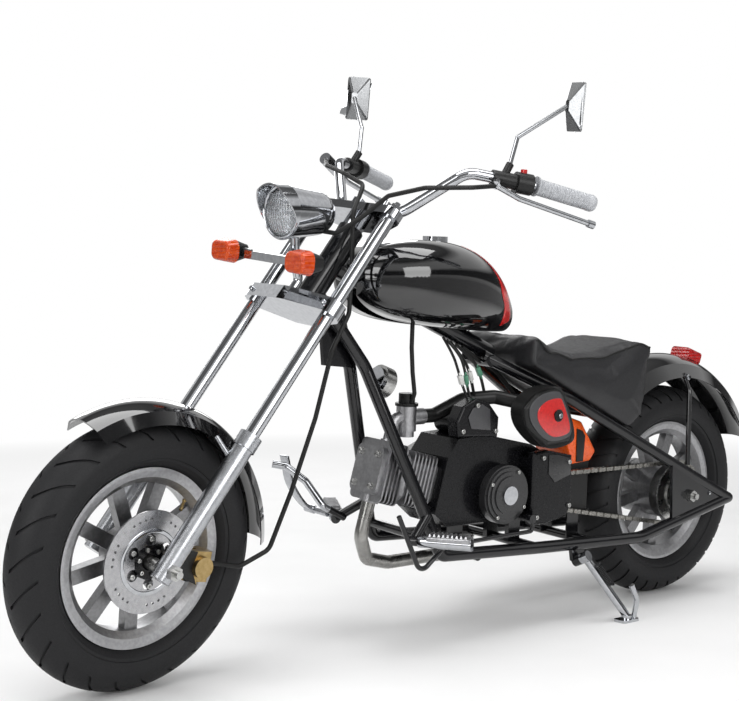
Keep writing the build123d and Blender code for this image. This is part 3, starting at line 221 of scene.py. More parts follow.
# Paints, plastics and rubbers, in the same order, with any clear coat
frame_paint = coated_finish(
    "frame_enamel", (0.003, 0.003, 0.004), (0.005, 0.005, 0.006), (0.14, 0.22), grain=200,
    coat=0.3, relief=0.03, relief_grain=320, shine=0.4)
engine_black = coated_finish(
    "engine_paint", (0.004, 0.004, 0.005), (0.007, 0.007, 0.008), (0.22, 0.30), grain=500,
    coat=0.10, relief=0.03, relief_grain=1200, shine=0.2)
engine_sheen = coated_finish(
    "engine_sheen", (0.016, 0.016, 0.017), (0.022, 0.022, 0.023), (0.26, 0.34), grain=500,
    coat=0.2, relief=0.05, relief_grain=1600)
gloss_black = coated_finish(
    "black_lacquer", (0.0025, 0.0025, 0.003), (0.004, 0.004, 0.0045), (0.05, 0.10), grain=60,
    coat=1.0)
red_paint = coated_finish(
    "red_paint", (0.46, 0.008, 0.008), (0.58, 0.014, 0.012), (0.10, 0.18), grain=200, coat=0.8)
satin_grey = coated_finish(
    "satin_grey", (0.045, 0.045, 0.048), (0.06, 0.06, 0.064), (0.34, 0.44), grain=500,
    relief=0.05, relief_grain=1600)
black_plastic = coated_finish(
    "moulded_black", (0.008, 0.008, 0.008), (0.014, 0.014, 0.014), (0.30, 0.42), grain=500,
    relief=0.08, relief_grain=1800, shine=0.28)
orange_plastic = coated_finish(
    "battery_orange", (0.78, 0.085, 0.006), (0.90, 0.13, 0.010), (0.24, 0.36), grain=300,
    coat=0.2, relief=0.10, relief_grain=1000)
white_nylon = coated_finish(
    "white_nylon", (0.55, 0.55, 0.53), (0.66, 0.66, 0.64), (0.34, 0.46), grain=500,
    relief=0.10, relief_grain=1200)
green_nylon = coated_finish(
    "green_nylon", (0.05, 0.20, 0.12), (0.08, 0.28, 0.17), (0.34, 0.46), grain=500,
    relief=0.10, relief_grain=1200)
hose_rubber = coated_finish(
    "hose_rubber", (0.006, 0.006, 0.006), (0.011, 0.011, 0.011), (0.38, 0.52), grain=600,
    relief=0.10, relief_grain=1800, shine=0.28)
grip_rubber = coated_finish(
    "grey_grip", (0.34, 0.35, 0.37), (0.44, 0.45, 0.47), (0.30, 0.40), grain=160,
    coat=0.15, relief=0.05, relief_grain=1800)
tyre_rubber = coated_finish(
    "tyre_rubber", (0.009, 0.009, 0.010), (0.015, 0.015, 0.016), (0.50, 0.64), grain=700,
    relief=0.12, relief_grain=1600, shine=0.25)
seat_cover = leather_finish(
    "seat_cover", (0.007, 0.007, 0.008), (0.013, 0.013, 0.015), (0.34, 0.46))

# Lenses: deep and pale colour
amber_lens = lens_finish(
    "amber_lens", (0.58, 0.045, 0.002), (0.72, 0.085, 0.004), clear=0.25, rough=0.06, flutes=260)
red_lens = lens_finish(
    "red_lens", (0.40, 0.008, 0.008), (0.60, 0.014, 0.014), clear=0.30, rough=0.06, flutes=260)
lamp_glass = lens_finish(
    "lamp_glass", (0.90, 0.92, 0.93), (0.97, 0.98, 0.99), clear=0.95, rough=0.02, flutes=160)

FINISHES = {
    "frame_paint": frame_paint, "gloss_black": gloss_black, "engine_black": engine_black,
    "cast_alloy": cast_alloy, "satin_alloy": satin_alloy, "chrome": chrome,
    "zinc_steel": zinc_steel, "exhaust_steel": exhaust_steel, "chain_steel": chain_steel,
    "disc_steel": disc_steel, "gold_alloy": gold_alloy, "black_plastic": black_plastic,
    "orange_plastic": orange_plastic, "red_lens": red_lens, "amber_lens": amber_lens,
    "lamp_glass": lamp_glass, "seat_leather": seat_cover, "grip_rubber": grip_rubber,
    "hose_rubber": hose_rubber, "tyre": tyre_rubber,
}


def dress(piece, finish):
    """Gives a piece one finish."""
    piece.data.materials.clear()
    piece.data.materials.append(finish)


for subpart in frame["record"]["subparts"]:
    dress(nodes[subpart["node"]], FINISHES[subpart["material_slot"]])


# Places
MM = 0.001
SIDES = (1, -1)
LEFT, RIGHT = (0, 1, 0), (0, -1, 0)
REAR_AXLE = Vector((0, 0, WHEEL_RADIUS))
FRONT_AXLE = Vector((WHEELBASE, 0, WHEEL_RADIUS))
FORK_FOOT_X, FORK_FOOT_Z = 1403.2, 237.4
RAKE_COS, RAKE_SIN = 0.7986, 0.6018


def at(x, y, z):
    """A place on the upright machine, from millimetres."""
    return Vector((x, y, z)) * MM


def fork_at(forward, left, up):
    """A place counted along the fork: forward of the steering axis, to the left, and up the axis."""
    x = FORK_FOOT_X + RAKE_COS * forward - RAKE_SIN * up
    return at(x, left, FORK_FOOT_Z + RAKE_SIN * forward + RAKE_COS * up)


FORK_UP = (fork_at(0, 0, 1) - fork_at(0, 0, 0)).normalized()
FORK_AHEAD = (fork_at(1, 0, 0) - fork_at(0, 0, 0)).normalized()

# Spots on the left half of the bar, counted along the fork
BAR_HUMP = (-18, 184, 938)
GRIP_ROOT = (-129, 246, 1002)
GRIP_TIP = (-250, 295, 1060)
MIRROR_SPOT = (-44, 300, 1135)
BOOT_SPOT = (-74, 215, 1008)


def bar_at(spot, side):
    """A spot of the bar on the left side, 1, or the right side, -1."""
    forward, left, up = spot
    return fork_at(forward, side * left, up)


def aimed(where, way):
    """A place whose own Z runs along a way."""
    return Matrix.Translation(where) @ Vector(way).to_track_quat("Z", "Y").to_matrix().to_4x4()


# Modelling
def alone(piece):
    """Chooses one piece and nothing else."""
    bpy.ops.object.select_all(action="DESELECT")
    piece.select_set(True)
    bpy.context.view_layer.objects.active = piece


def start(name, add, **shape):
    """A fresh primitive, open for modelling with all of it chosen."""
    bpy.ops.object.select_all(action="DESELECT")
    add(**shape)
    piece = bpy.context.active_object
    piece.name = name
    piece.data.name = name
    bpy.ops.object.mode_set(mode="EDIT")
    bpy.ops.mesh.select_all(action="SELECT")
    return piece


def pick(piece, test, kind="FACE"):
    """Chooses the faces or points that pass a test."""
    bpy.ops.mesh.select_mode(type=kind)
    bpy.ops.mesh.select_all(action="DESELECT")
    bpy.ops.object.mode_set(mode="OBJECT")
    for item in piece.data.polygons if kind == "FACE" else piece.data.vertices:
        item.select = test(item)
    bpy.ops.object.mode_set(mode="EDIT")


def draw_out(x, y, z):
    """Extrudes what is chosen by a step."""
    bpy.ops.mesh.extrude_region_move(TRANSFORM_OT_translate={"value": (x, y, z)})


def drawn(name, points):
    """A line drawn point by point."""
    piece = start(name, bpy.ops.mesh.primitive_plane_add, size=MM)
    bpy.ops.mesh.merge(type="CENTER")
    bpy.ops.mesh.select_mode(type="VERT")
    bpy.ops.mesh.select_all(action="SELECT")
    bpy.ops.transform.translate(value=points[0])
    for before, after in zip(points, points[1:]):
        step = Vector(after) - Vector(before)
        bpy.ops.mesh.extrude_vertices_move(TRANSFORM_OT_translate={"value": step})
    bpy.ops.mesh.select_all(action="SELECT")
    return piece


def flowing(places, cuts, closed=False):
    """A smooth line drawn through a few places."""
    count = len(places)
    line = []
    for index in range(count if closed else count - 1):
        steps = [index + step for step in (-1, 0, 1, 2)]
        steps = [step % count if closed else min(max(step, 0), count - 1) for step in steps]
        before, here, ahead, after = (places[step] for step in steps)
        for cut in range(cuts):
            share = cut / cuts
            bend = (2 * before - 5 * here + 4 * ahead - after) * share ** 2
            swing = (3 * here - before - 3 * ahead + after) * share ** 3
            line.append((2 * here + (ahead - before) * share + bend + swing) * 0.5)
    return line if closed else line + [places[-1]]


def sealed():
    """Joins doubled points and turns all faces outwards."""
    bpy.ops.mesh.select_all(action="SELECT")
    bpy.ops.mesh.remove_doubles(threshold=0.00002)
    bpy.ops.mesh.normals_make_consistent(inside=False)


def spun(name, points, axis, steps):
    """A drawn line turned once round an axis through the origin."""
    piece = drawn(name, points)
    bpy.ops.mesh.spin(steps=steps, angle=math.tau, center=(0, 0, 0), axis=axis)
    sealed()
    return piece


def lathed(name, section, steps):
    """A section of radii and heights, in millimetres, turned round its own Z."""
    return spun(name, [at(radius, 0, height) for radius, height in section], (0, 0, 1), steps)


def block(name, size, rim, segments):
    """A block with eased edges."""
    piece = start(name, bpy.ops.mesh.primitive_cube_add, size=1)
    bpy.ops.transform.resize(value=size)
    bpy.ops.mesh.bevel(offset=rim, segments=segments, affect="EDGES")
    return piece


def shaped(piece, name, kind, **settings):
    """Puts a modifier on a piece and applies it."""
    alone(piece)
    added = piece.modifiers.new(name, kind)
    for setting, value in settings.items():
        setattr(added, setting, value)
    bpy.ops.object.modifier_apply(modifier=added.name)


def rounded(line, radius):
    """A curve given a round section and made a mesh."""
    line.data.bevel_depth = radius
    line.data.bevel_resolution = 2
    line.data.use_fill_caps = True
    bpy.ops.object.convert(target="MESH")
    return bpy.context.active_object


def placed(piece, stance):
    """Ends the modelling of a piece and puts it where it belongs."""
    bpy.ops.object.mode_set(mode="OBJECT")
    piece.matrix_world = stance
    return piece


def copied(piece, stance):
    """A second one of a modelled piece, with a mesh of its own, put in its place."""
    other = piece.copy()
    other.data = piece.data.copy()
    bpy.context.collection.objects.link(other)
    other.matrix_world = stance
    return other


def joined(name, pieces):
    """Several modelled pieces made one."""
    bpy.context.view_layer.objects.active = pieces[0]
    bpy.ops.object.mode_set(mode="OBJECT")
    bpy.ops.object.select_all(action="DESELECT")
    for piece in pieces:
        piece.select_set(True)
    bpy.ops.object.transform_apply(location=True, rotation=True, scale=True)
    bpy.ops.object.join()
    pieces[0].name = name
    return pieces[0]


def stand(piece, stance):
    """Puts a piece in the parked stance for good."""
    bpy.ops.object.mode_set(mode="OBJECT")
    alone(piece)
    piece.matrix_world = stance @ piece.matrix_world
    bpy.ops.object.transform_apply(location=True, rotation=True, scale=True)


def settle(piece, stance, body, finish, crease=35):
    """Puts a modelled piece in its place in the parked stance, on its body and in its finish."""
    stand(piece, stance)
    bpy.ops.object.shade_smooth_by_angle(angle=math.radians(crease))
    dress(piece, finish)
    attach(piece, body)
    return piece


def discard(pattern):
    """Takes a pattern away once its copies are made."""
    alone(pattern)
    bpy.ops.object.delete()


def zone(node, finish, test, stance=UPRIGHT):
    """Gives the faces of a CAD piece that pass a test, in upright millimetres, a finish of their own."""
    piece = nodes[node]
    piece.data.materials.append(finish)
    slot = len(piece.data.materials) - 1
    upright = stance.inverted()
    for face in piece.data.polygons:
        place = (upright @ face.center) / MM
        if test(place):
            face.material_index = slot


# Tyres: a round-shouldered carcass with curved sipes cut from the crown to each shoulder
# Sidewall, from bead to shoulder: share of the way out to the tyre's full width, and radius
SIDEWALL = (
    (0.0, 152.8), (0.0, 166.3), (0.35, 171), (0.66, 179), (0.72, 184.5), (0.82, 185.5),
    (0.93, 194), (1.0, 207), (0.92, 219),
)
SHOULDER_RADIUS = 230
SHOULDER_INSET = 9
CROWN_ROWS = 8
CROWN_RIB = 0.12
TYRE_STEPS = 216
TREAD_FOOT = SHOULDER_RADIUS - 16
SIPE_FOOT = SHOULDER_RADIUS - 14
SIPE_DEPTH = 0.0042
SIPE_CURVE = 1.4


def tread_height(side, shoulder):
    """Radius of the crown at a distance from the middle."""
    rise = WHEEL_RADIUS / MM - SHOULDER_RADIUS
    bend = (shoulder**2 + rise**2) / (2 * rise)
    return WHEEL_RADIUS / MM - bend + math.sqrt(bend**2 - side**2)


def tyre(name, node, body, stance, width, bead, sipes, sweep):
    """One tyre, turned from its section and cut with its sipes."""
    half, shoulder = width / 2, width / 2 - SHOULDER_INSET
    wall = [(bead + (half - bead) * share, radius) for share, radius in SIDEWALL]
    crown = [shoulder * (CROWN_ROWS - row) / CROWN_ROWS for row in range(CROWN_ROWS + 1)]
    left = wall + [(side, tread_height(side, shoulder)) for side in crown]
    section = left + [(-side, radius) for side, radius in reversed(left[:-1])] + [left[0]]
    piece = spun(name, [at(0, side, radius) for side, radius in section], (0, 1, 0), TYRE_STEPS)
    bpy.ops.object.mode_set(mode="OBJECT")
    pitch = TYRE_STEPS // sipes
    cuts = set()
    for face in piece.data.polygons:
        side = face.center.y / MM
        reach = math.hypot(face.center.x, face.center.z) / MM
        angle = math.atan2(face.center.z, face.center.x)
        column = round((angle / math.tau) * TYRE_STEPS - 0.5) % TYRE_STEPS
        lead = 0 if side > 0 else pitch // 2
        in_tread = reach > SIPE_FOOT and abs(side) > shoulder * CROWN_RIB
        if in_tread and (column + lead) % pitch == 0:
            cuts.add(face.index)
    bpy.ops.object.mode_set(mode="EDIT")
    for row in sorted({round(abs(side), 4) for side, radius in section if radius > TREAD_FOOT}):
        def in_row(point):
            return abs(abs(point.co.y) / MM - row) < 0.01 and point.co.xz.length / MM > TREAD_FOOT

        pick(piece, in_row, "VERT")
        turn_by = math.radians(sweep) * (row / half) ** SIPE_CURVE
        bpy.ops.transform.rotate(value=turn_by, orient_axis="Y", center_override=(0, 0, 0))
    pick(piece, lambda face: face.index in cuts)
    bpy.ops.mesh.extrude_region_shrink_fatten(TRANSFORM_OT_shrink_fatten={"value": -SIPE_DEPTH})
    settle(piece, stance, body, tyre_rubber, 28)
    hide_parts(node)
    return piece


tyre(
    "front_tread", "front_tyre", "front_wheel", STEERED @ Matrix.Translation(FRONT_AXLE),
    width=100, bead=25.7, sipes=24, sweep=14)
tyre(
    "rear_tread", "rear_tyre", "rear_wheel", UPRIGHT @ Matrix.Translation(REAR_AXLE),
    width=118, bead=31.7, sipes=36, sweep=7)

# Ribbed grips with an inner flange and a rounded end
GRIP_START = 3
GRIP_LENGTH = 140
GRIP_RIBS = 16
RIB_START, RIB_PITCH = 10, 7
RIB_FOOT, RIB_TOP = 15.6, 16.6
grip_section = [(0, 0), (20, 0), (20, 3), (17, 5), (RIB_FOOT, 7)]
for rib in range(GRIP_RIBS):
    along = RIB_START + rib * RIB_PITCH
    grip_section += [(RIB_FOOT, along), (RIB_TOP, along + 1)]
    grip_section += [(RIB_TOP, along + 4.4), (RIB_FOOT, along + 5.4)]
grip_section += [(RIB_FOOT, 124), (17.2, 126), (17.2, 135), (15, GRIP_LENGTH), (0, GRIP_LENGTH)]
grip_set = []
for side in SIDES:
    inner, outer = bar_at(GRIP_ROOT, side), bar_at(GRIP_TIP, side)
    way = (outer - inner).normalized()
    grip = lathed("grip", grip_section, 32)
    grip_set.append(placed(grip, aimed(inner + way * GRIP_START * MM, way)))
grips = settle(joined("ribbed_grips", grip_set), STEERED, "steering", grip_rubber, 40)
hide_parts("grips")

# Mirror glasses, set in the backs of their shells
GLASS_SIZE = (0.048, 0.088, 0.0016)
GLASS_TURN = 16
GLASS_BACK = Matrix.Translation((0, 0, -0.0229))
glass_set = []
for side in SIDES:
    normal = Vector((0.78, -side * 0.62, 0)).normalized()
    across = Vector((-0.62, -side * 0.78, 0)).normalized()
    shell_turn = Matrix((across, normal.cross(across), normal)).transposed().to_4x4()
    glass_turn = Matrix.Rotation(math.radians(GLASS_TURN * side), 4, "Z")
    shell = Matrix.Translation(bar_at(MIRROR_SPOT, side)) @ shell_turn
    glass_set.append(placed(block("glass", GLASS_SIZE, 0.0007, 2), shell @ glass_turn @ GLASS_BACK))
settle(joined("mirror_glasses", glass_set), STEERED, "steering", mirror_glass)

# Seat: a soft pad over its pan, swelled as stuffed vinyl and then piped
PAD_SWELL = 0.006
PAD_SHARE = (0.975, 0.95, 0.97)
SWELL_FRAMES = 20
seat_low, seat_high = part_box("seat")
seat_middle = (Vector(seat_low) + Vector(seat_high)) / 2
seat_pad = copied(nodes["seat"], Matrix.Identity(4))
seat_pad.parent = None
seat_pad.matrix_world = Matrix.Identity(4)
seat_pad.name = "seat_pad"
seat_pad.hide_render = False
alone(seat_pad)
bpy.ops.object.mode_set(mode="EDIT")
sealed()
bpy.ops.transform.resize(value=PAD_SHARE, center_override=seat_middle)
bpy.ops.object.mode_set(mode="OBJECT")
shaped(seat_pad, "pad_skin", "REMESH", mode="VOXEL", voxel_size=0.005)
shaped(seat_pad, "eased_edges", "SMOOTH", factor=0.6, iterations=22)


def on_pan(point, upright):
    """Whether a point of the pad lies on the pan or against the fender."""
    place = upright @ point.co
    behind = place.x < 0.33 and abs(place.y) < 0.08 and point.normal.x < -0.3
    return point.normal.z < -0.5 or behind


pan = seat_pad.vertex_groups.new(name="pan")
upright = UPRIGHT.inverted()
under = [point.index for point in seat_pad.data.vertices if on_pan(point, upright)]
pan.add(under, 1.0, "REPLACE")
rest = [point.co.copy() for point in seat_pad.data.vertices]
stuffing = seat_pad.modifiers.new("stuffing", "CLOTH")
stuffing.settings.use_pressure = True
stuffing.settings.uniform_pressure_force = 4
stuffing.settings.effector_weights.gravity = 0
stuffing.settings.vertex_group_mass = "pan"
for frame_number in range(1, SWELL_FRAMES + 1):
    bpy.context.scene.frame_set(frame_number)
bpy.ops.object.modifier_apply(modifier=stuffing.name)
bpy.context.scene.frame_set(1)
for point, place in zip(seat_pad.data.vertices, rest):
    moved = point.co - place
    if moved.length > PAD_SWELL:
        point.co = place + moved * (PAD_SWELL / moved.length)
shaped(seat_pad, "finer_skin", "SUBSURF", levels=1, render_levels=1)
bpy.ops.object.shade_smooth()
dress(seat_pad, seat_cover)
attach(seat_pad, "frame")
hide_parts("seat")

PIPING_SIDE = 113
PIPING_RADIUS = 0.0024
PIPING_LIFT = 0.0006
PIPING_LINE = ((528, 628), (470, 602), (400, 588), (300, 591), (196, 616), (160, 606))


def piping(name, points, body, target, radius, finish):
    """A thin round welt laid over a soft or curved piece."""
    line = drawn(name, points)
    bpy.ops.mesh.subdivide(number_cuts=5, smoothness=1.0)
    stand(line, UPRIGHT)
    shaped(line, "laid_on", "SHRINKWRAP", target=target, offset=PIPING_LIFT)
    bpy.ops.object.convert(target="CURVE")
    line = rounded(bpy.context.active_object, radius)
    bpy.ops.object.shade_smooth()
    dress(line, finish)
    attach(line, body)
    return line


for side, label in ((1, "left"), (-1, "right")):
    rim = [at(x, side * PIPING_SIDE, z) for x, z in PIPING_LINE]
    piping("seat_piping_" + label, rim, "frame", seat_pad, PIPING_RADIUS, hose_rubber)

# Headlamp: faceted reflector with its bulb shield behind a domed glass, in a bright ring
LAMP_STANCE = STEERED @ aimed(fork_at(162, 0, 675), (1, 0, 0))
BULB_SECTION = ((0, 8), (5, 7.4), (8.5, 5), (9.5, 1), (12.4, -5.2), (0, -5.2))
DOME_SECTION = (
    (0, 13.6), (12, 13), (24, 11), (35, 7.4), (43, 3), (47, -1), (47, -4),
    (45.4, -4), (41.6, 1.4), (34, 5.4), (23, 9), (11, 11), (0, 11.6),
)
reflector = start(
    "lamp_reflector", bpy.ops.mesh.primitive_cone_add, vertices=28,
    radius1=0.012, radius2=0.0462, depth=0.005, end_fill_type="NOTHING")
bpy.ops.transform.translate(value=(0, 0, -0.0028))
bpy.ops.mesh.subdivide(number_cuts=4)
pick(reflector, lambda face: face.index % 2 == 0)
bpy.ops.mesh.inset(thickness=0.0006, depth=0.0005, use_individual=True)
bpy.ops.object.mode_set(mode="OBJECT")
reflector = joined("lamp_reflector", [reflector, lathed("bulb_shield", BULB_SECTION, 28)])
settle(reflector, LAMP_STANCE, "steering", chrome, 20)
lamp_dome = lathed("lamp_dome", DOME_SECTION, 64)
settle(lamp_dome, LAMP_STANCE, "steering", lamp_glass, 40)
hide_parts("headlamp_lens")
ring = start(
    "lamp_ring", bpy.ops.mesh.primitive_torus_add, major_segments=72, minor_segments=12,
    major_radius=0.0488, minor_radius=0.0030)
bpy.ops.transform.resize(value=(1, 1, 1.5))
bpy.ops.transform.translate(value=(0, 0, 0.001))
settle(ring, LAMP_STANCE, "steering", chrome)

# Tank stripe, a ribbon of paint down the left rear flank
STRIPE_LINE = (
    (716, 62, 806), (690, 66, 786), (664, 66, 760), (640, 66, 730), (615, 64, 693), (598, 60, 664),
)
stripe = drawn("tank_stripe", flowing([at(*place) for place in STRIPE_LINE], 4))
draw_out(-0.030, 0, 0.006)
bpy.ops.mesh.select_all(action="SELECT")
bpy.ops.mesh.subdivide(number_cuts=4)
stand(stripe, UPRIGHT)
shaped(
    stripe, "follows_tank", "SHRINKWRAP", target=nodes["fuel_tank"],
    wrap_mode="ABOVE_SURFACE", offset=0.0008)
shaped(stripe, "paint_film", "SOLIDIFY", thickness=0.0005, offset=0)
bpy.ops.object.shade_smooth()
dress(stripe, red_paint)
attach(stripe, "frame")

# Socket-head screws and hexagon nuts: one of each modelled at a radius of one, then copied
screw_head = start("screw_head", bpy.ops.mesh.primitive_cylinder_add, vertices=18, radius=1, depth=1)
bpy.ops.transform.translate(value=(0, 0, 0.5))
pick(screw_head, lambda face: face.normal.z > 0.9)
bpy.ops.mesh.inset(thickness=0.14, depth=0.10)
bpy.ops.mesh.inset(thickness=0.36, depth=0)
draw_out(0, 0, -0.45)
bpy.ops.object.mode_set(mode="OBJECT")
hex_nut = start("hex_nut", bpy.ops.mesh.primitive_cylinder_add, vertices=6, radius=1, depth=0.8)
bpy.ops.transform.translate(value=(0, 0, 0.5))
pick(hex_nut, lambda face: face.normal.z > 0.9)
bpy.ops.mesh.inset(thickness=0.22, depth=0.12)
bpy.ops.mesh.inset(thickness=0.20, depth=0)
draw_out(0, 0, 0.5)
pick(hex_nut, lambda face: face.normal.z < -0.9)
draw_out(0, 0, 0)
bpy.ops.transform.resize(value=(1.25, 1.25, 1))
draw_out(0, 0, -0.10)
sealed()
bpy.ops.object.mode_set(mode="OBJECT")


def fasteners(name, pattern, places, stance, body, finish):
    """Screws or nuts of one pattern: each place is where it sits, the way it faces and its radius."""
    heads = []
    for where, facing, radius in places:
        heads.append(copied(pattern, aimed(where, facing) @ Matrix.Scale(radius * MM, 4)))
    return settle(joined(name, heads), stance, body, finish, 30)


def bolt_circle(middle, reach, angles, facing, radius):
    """Places of screws round a middle."""
    return [
        (middle + at(reach * math.cos(angle), 0, reach * math.sin(angle)), facing, radius)
        for angle in angles
    ]


COVER_SCREWS = (
    (484, 102, 372), (404, 102, 358), (400, 102, 262), (498, 102, 244),
    (676, 94, 494), (622, 94, 438), (714, 94, 442),
)
cover_screws = [(at(*place), LEFT, 5) for place in COVER_SCREWS]
cover_screws += bolt_circle(at(580, 98, 299), 54.5, (0.5, 2.1, 3.7, 5.3), LEFT, 4)
cover_screws += bolt_circle(at(560, -108, 315), 49.5, (0.3, 1.55, 2.8, 4.05, 5.3), RIGHT, 4)
fasteners("cover_screws", screw_head, cover_screws, UPRIGHT, "frame", zinc_steel)

# The barrel lies forward and rises a little; distances along it count from its foot
BARREL_RISE = math.radians(15)
BARREL_FOOT = at(735, 0, 325)
HEAD_FACE = 0.1563
HEAD_NUT_UP, HEAD_NUT_LEFT = 33, 27
barrel_way = Vector((math.cos(BARREL_RISE), 0, math.sin(BARREL_RISE)))
barrel_up = Vector((-math.sin(BARREL_RISE), 0, math.cos(BARREL_RISE)))
head_face = BARREL_FOOT + barrel_way * HEAD_FACE
head_nuts = [
    (head_face + barrel_up * up * MM + at(0, left, 0), barrel_way, 6.5)
    for up in (-HEAD_NUT_UP, HEAD_NUT_UP) for left in (-HEAD_NUT_LEFT, HEAD_NUT_LEFT)
]
fasteners("head_nuts", hex_nut, head_nuts, UPRIGHT, "frame", zinc_steel)

STANCHION_SIDE = 105
LOWER_CLAMP = 565
fork_caps = [(fork_at(21, side * STANCHION_SIDE, 804), FORK_UP, 11) for side in SIDES]
fork_caps += [(fork_at(0, 0, 800), FORK_UP, 15)]
fasteners("fork_caps", hex_nut, fork_caps, STEERED, "steering", chrome)
clamp_bolts = [(fork_at(45, side * STANCHION_SIDE, LOWER_CLAMP), FORK_AHEAD, 5) for side in SIDES]
clamp_bolts += [(fork_at(41, side * 32, LOWER_CLAMP), FORK_AHEAD, 5) for side in SIDES]
clamp_bolts += [
    (fork_at(-14 + ahead, side * 38, 839), FORK_UP, 4.5) for side in SIDES for ahead in (-13, 13)
]
fasteners("clamp_bolts", screw_head, clamp_bolts, STEERED, "steering", chrome)

# Disc bolts in two circles, and the bright ring of the disc's carrier
DISC_BOLTS = 6
CARRIER_SECTION = ((53, 0), (61, 0), (61, 0.9), (60, 1.5), (54, 1.5), (53, 0.9), (53, 0))
disc_face = FRONT_AXLE + at(0, 54, 0)
inner_angles = [math.tau * bolt / DISC_BOLTS + 0.26 for bolt in range(DISC_BOLTS)]
outer_angles = [math.tau * (bolt + 0.5) / DISC_BOLTS for bolt in range(DISC_BOLTS)]
disc_bolts = bolt_circle(disc_face, 24, inner_angles, LEFT, 4)
disc_bolts += bolt_circle(disc_face, 43, outer_angles, LEFT, 5)
fasteners("disc_bolts", screw_head, disc_bolts, STEERED, "front_wheel", zinc_steel)
carrier_ring = lathed("carrier_ring", CARRIER_SECTION, 72)
carrier_stance = STEERED @ aimed(FRONT_AXLE + at(0, 53.9, 0), LEFT)
settle(carrier_ring, carrier_stance, "front_wheel", chrome)

# Coil spring of the side stand, between two pins beside its leg
COIL_TURNS = 15
COIL_PITCH = 0.0036
COIL_START = 0.026
COIL_ASIDE = 0.018
PIN_STARTS = (0.027, 0.079)
PIN_SECTION = ((0, 0), (2.6, 0), (2.6, 22), (4, 22.5), (4, 25), (0, 25.5))
pivot, foot = at(375, 137, 150), at(300, 198, 11)
leg_way = (foot - pivot).normalized()
hinge_way = Vector((0.975, 0.12, 0.10)).cross(leg_way).normalized()
coil = start("stand_spring", bpy.ops.mesh.primitive_circle_add, vertices=8, radius=0.0014)
bpy.ops.transform.rotate(value=math.radians(90), orient_axis="X", center_override=(0, 0, 0))
bpy.ops.transform.translate(value=(0.0055, 0, 0))
bpy.ops.object.mode_set(mode="OBJECT")
shaped(
    coil, "winding", "SCREW", axis="Z", screw_offset=COIL_PITCH, iterations=COIL_TURNS,
    steps=14, render_steps=14, use_merge_vertices=True)
bpy.ops.object.mode_set(mode="EDIT")
sealed()
coil_foot = pivot + leg_way * COIL_START + hinge_way * COIL_ASIDE
spring_set = [placed(coil, aimed(coil_foot, leg_way))]
for along in PIN_STARTS:
    pin = lathed("spring_pin", PIN_SECTION, 12)
    spring_set.append(placed(pin, aimed(pivot + leg_way * along, hinge_way)))
settle(joined("stand_spring", spring_set), UPRIGHT, "side_stand", frame_paint)

# Front valve stem
VALVE_SECTION = ((0, 0), (4, 0), (4, 3), (2.6, 5), (2.6, 16), (3.4, 17), (3.4, 24), (0, 25))
VALVE_ANGLE = 2.4
VALVE_REACH = 0.1362
valve = lathed("valve_stem", VALVE_SECTION, 16)
outwards = Vector((math.cos(VALVE_ANGLE), 0, math.sin(VALVE_ANGLE)))
valve_place = aimed(outwards * VALVE_REACH + at(0, 12, 0), -outwards + Vector((0, 0.5, 0)))
valve_stance = STEERED @ Matrix.Translation(FRONT_AXLE) @ valve_place
settle(valve, valve_stance, "front_wheel", gold_alloy)

# Two-tone CAD pieces, parted by distances in millimetres
HOUSING_RADIUS = 22.5
MIRROR_REACH = 60
BOOT_TOP = 1.5
SIGNAL_STEM = 73
MAGNETO_FACE = 104.3
CAP_FOOT = 489
CALIPER_GAP = (67.5, 76.5)
CALIPER_BACK = 1345
SPOKE_REACH = 131
DISC_HUB = 31.5
HORN_FACE = 866.5


def off_line(place, start, way):
    """Distance of a place from a line."""
    gap = place - start
    return (gap - way * gap.dot(way)).length


def off_axle(place, axle_x):
    """Distance of a place from an axle."""
    return math.hypot(place.x - axle_x / MM, place.z - WHEEL_RADIUS / MM)


def on_mirror(place):
    """Whether a place lies on a mirror's shell."""
    return (place - bar_at(MIRROR_SPOT, math.copysign(1, place.y)) / MM).length < MIRROR_REACH


def in_caliper_gap(place):
    """Whether a place lies between the caliper's halves."""
    return CALIPER_GAP[0] < place.y < CALIPER_GAP[1] and place.x > CALIPER_BACK


for label, side in (("left_controls", 1), ("right_controls", -1)):
    hump, root = bar_at(BAR_HUMP, side) / MM, bar_at(GRIP_ROOT, side) / MM
    way = (root - hump).normalized()
    zone(label, chrome, lambda place: off_line(place, hump, way) > HOUSING_RADIUS, STEERED)
zone("mirrors", mirror_shell, on_mirror, STEERED)
for side in SIDES:
    boot = bar_at(BOOT_SPOT, side) / MM
    zone(
        "mirrors", black_plastic,
        lambda place: (place - boot).dot(FORK_UP) < BOOT_TOP and place.y * side > 0, STEERED)
zone("signal_bar", chrome, lambda place: abs(place.y) < SIGNAL_STEM, STEERED)
dress(nodes["magneto_cover"], engine_sheen)
zone("magneto_cover", chrome, lambda place: place.y > MAGNETO_FACE)
zone("carburettor", black_plastic, lambda place: place.z > CAP_FOOT)
zone("brake_caliper", black_plastic, in_caliper_gap, STEERED)
zone("front_rim", spoke_grey, lambda place: off_axle(place, WHEELBASE) < SPOKE_REACH, STEERED)
zone("rear_rim", spoke_grey, lambda place: off_axle(place, 0) < SPOKE_REACH)
zone("front_disc", engine_black, lambda place: off_axle(place, WHEELBASE) < DISC_HUB, STEERED)
zone("horn", chrome, lambda place: place.x > HORN_FACE)

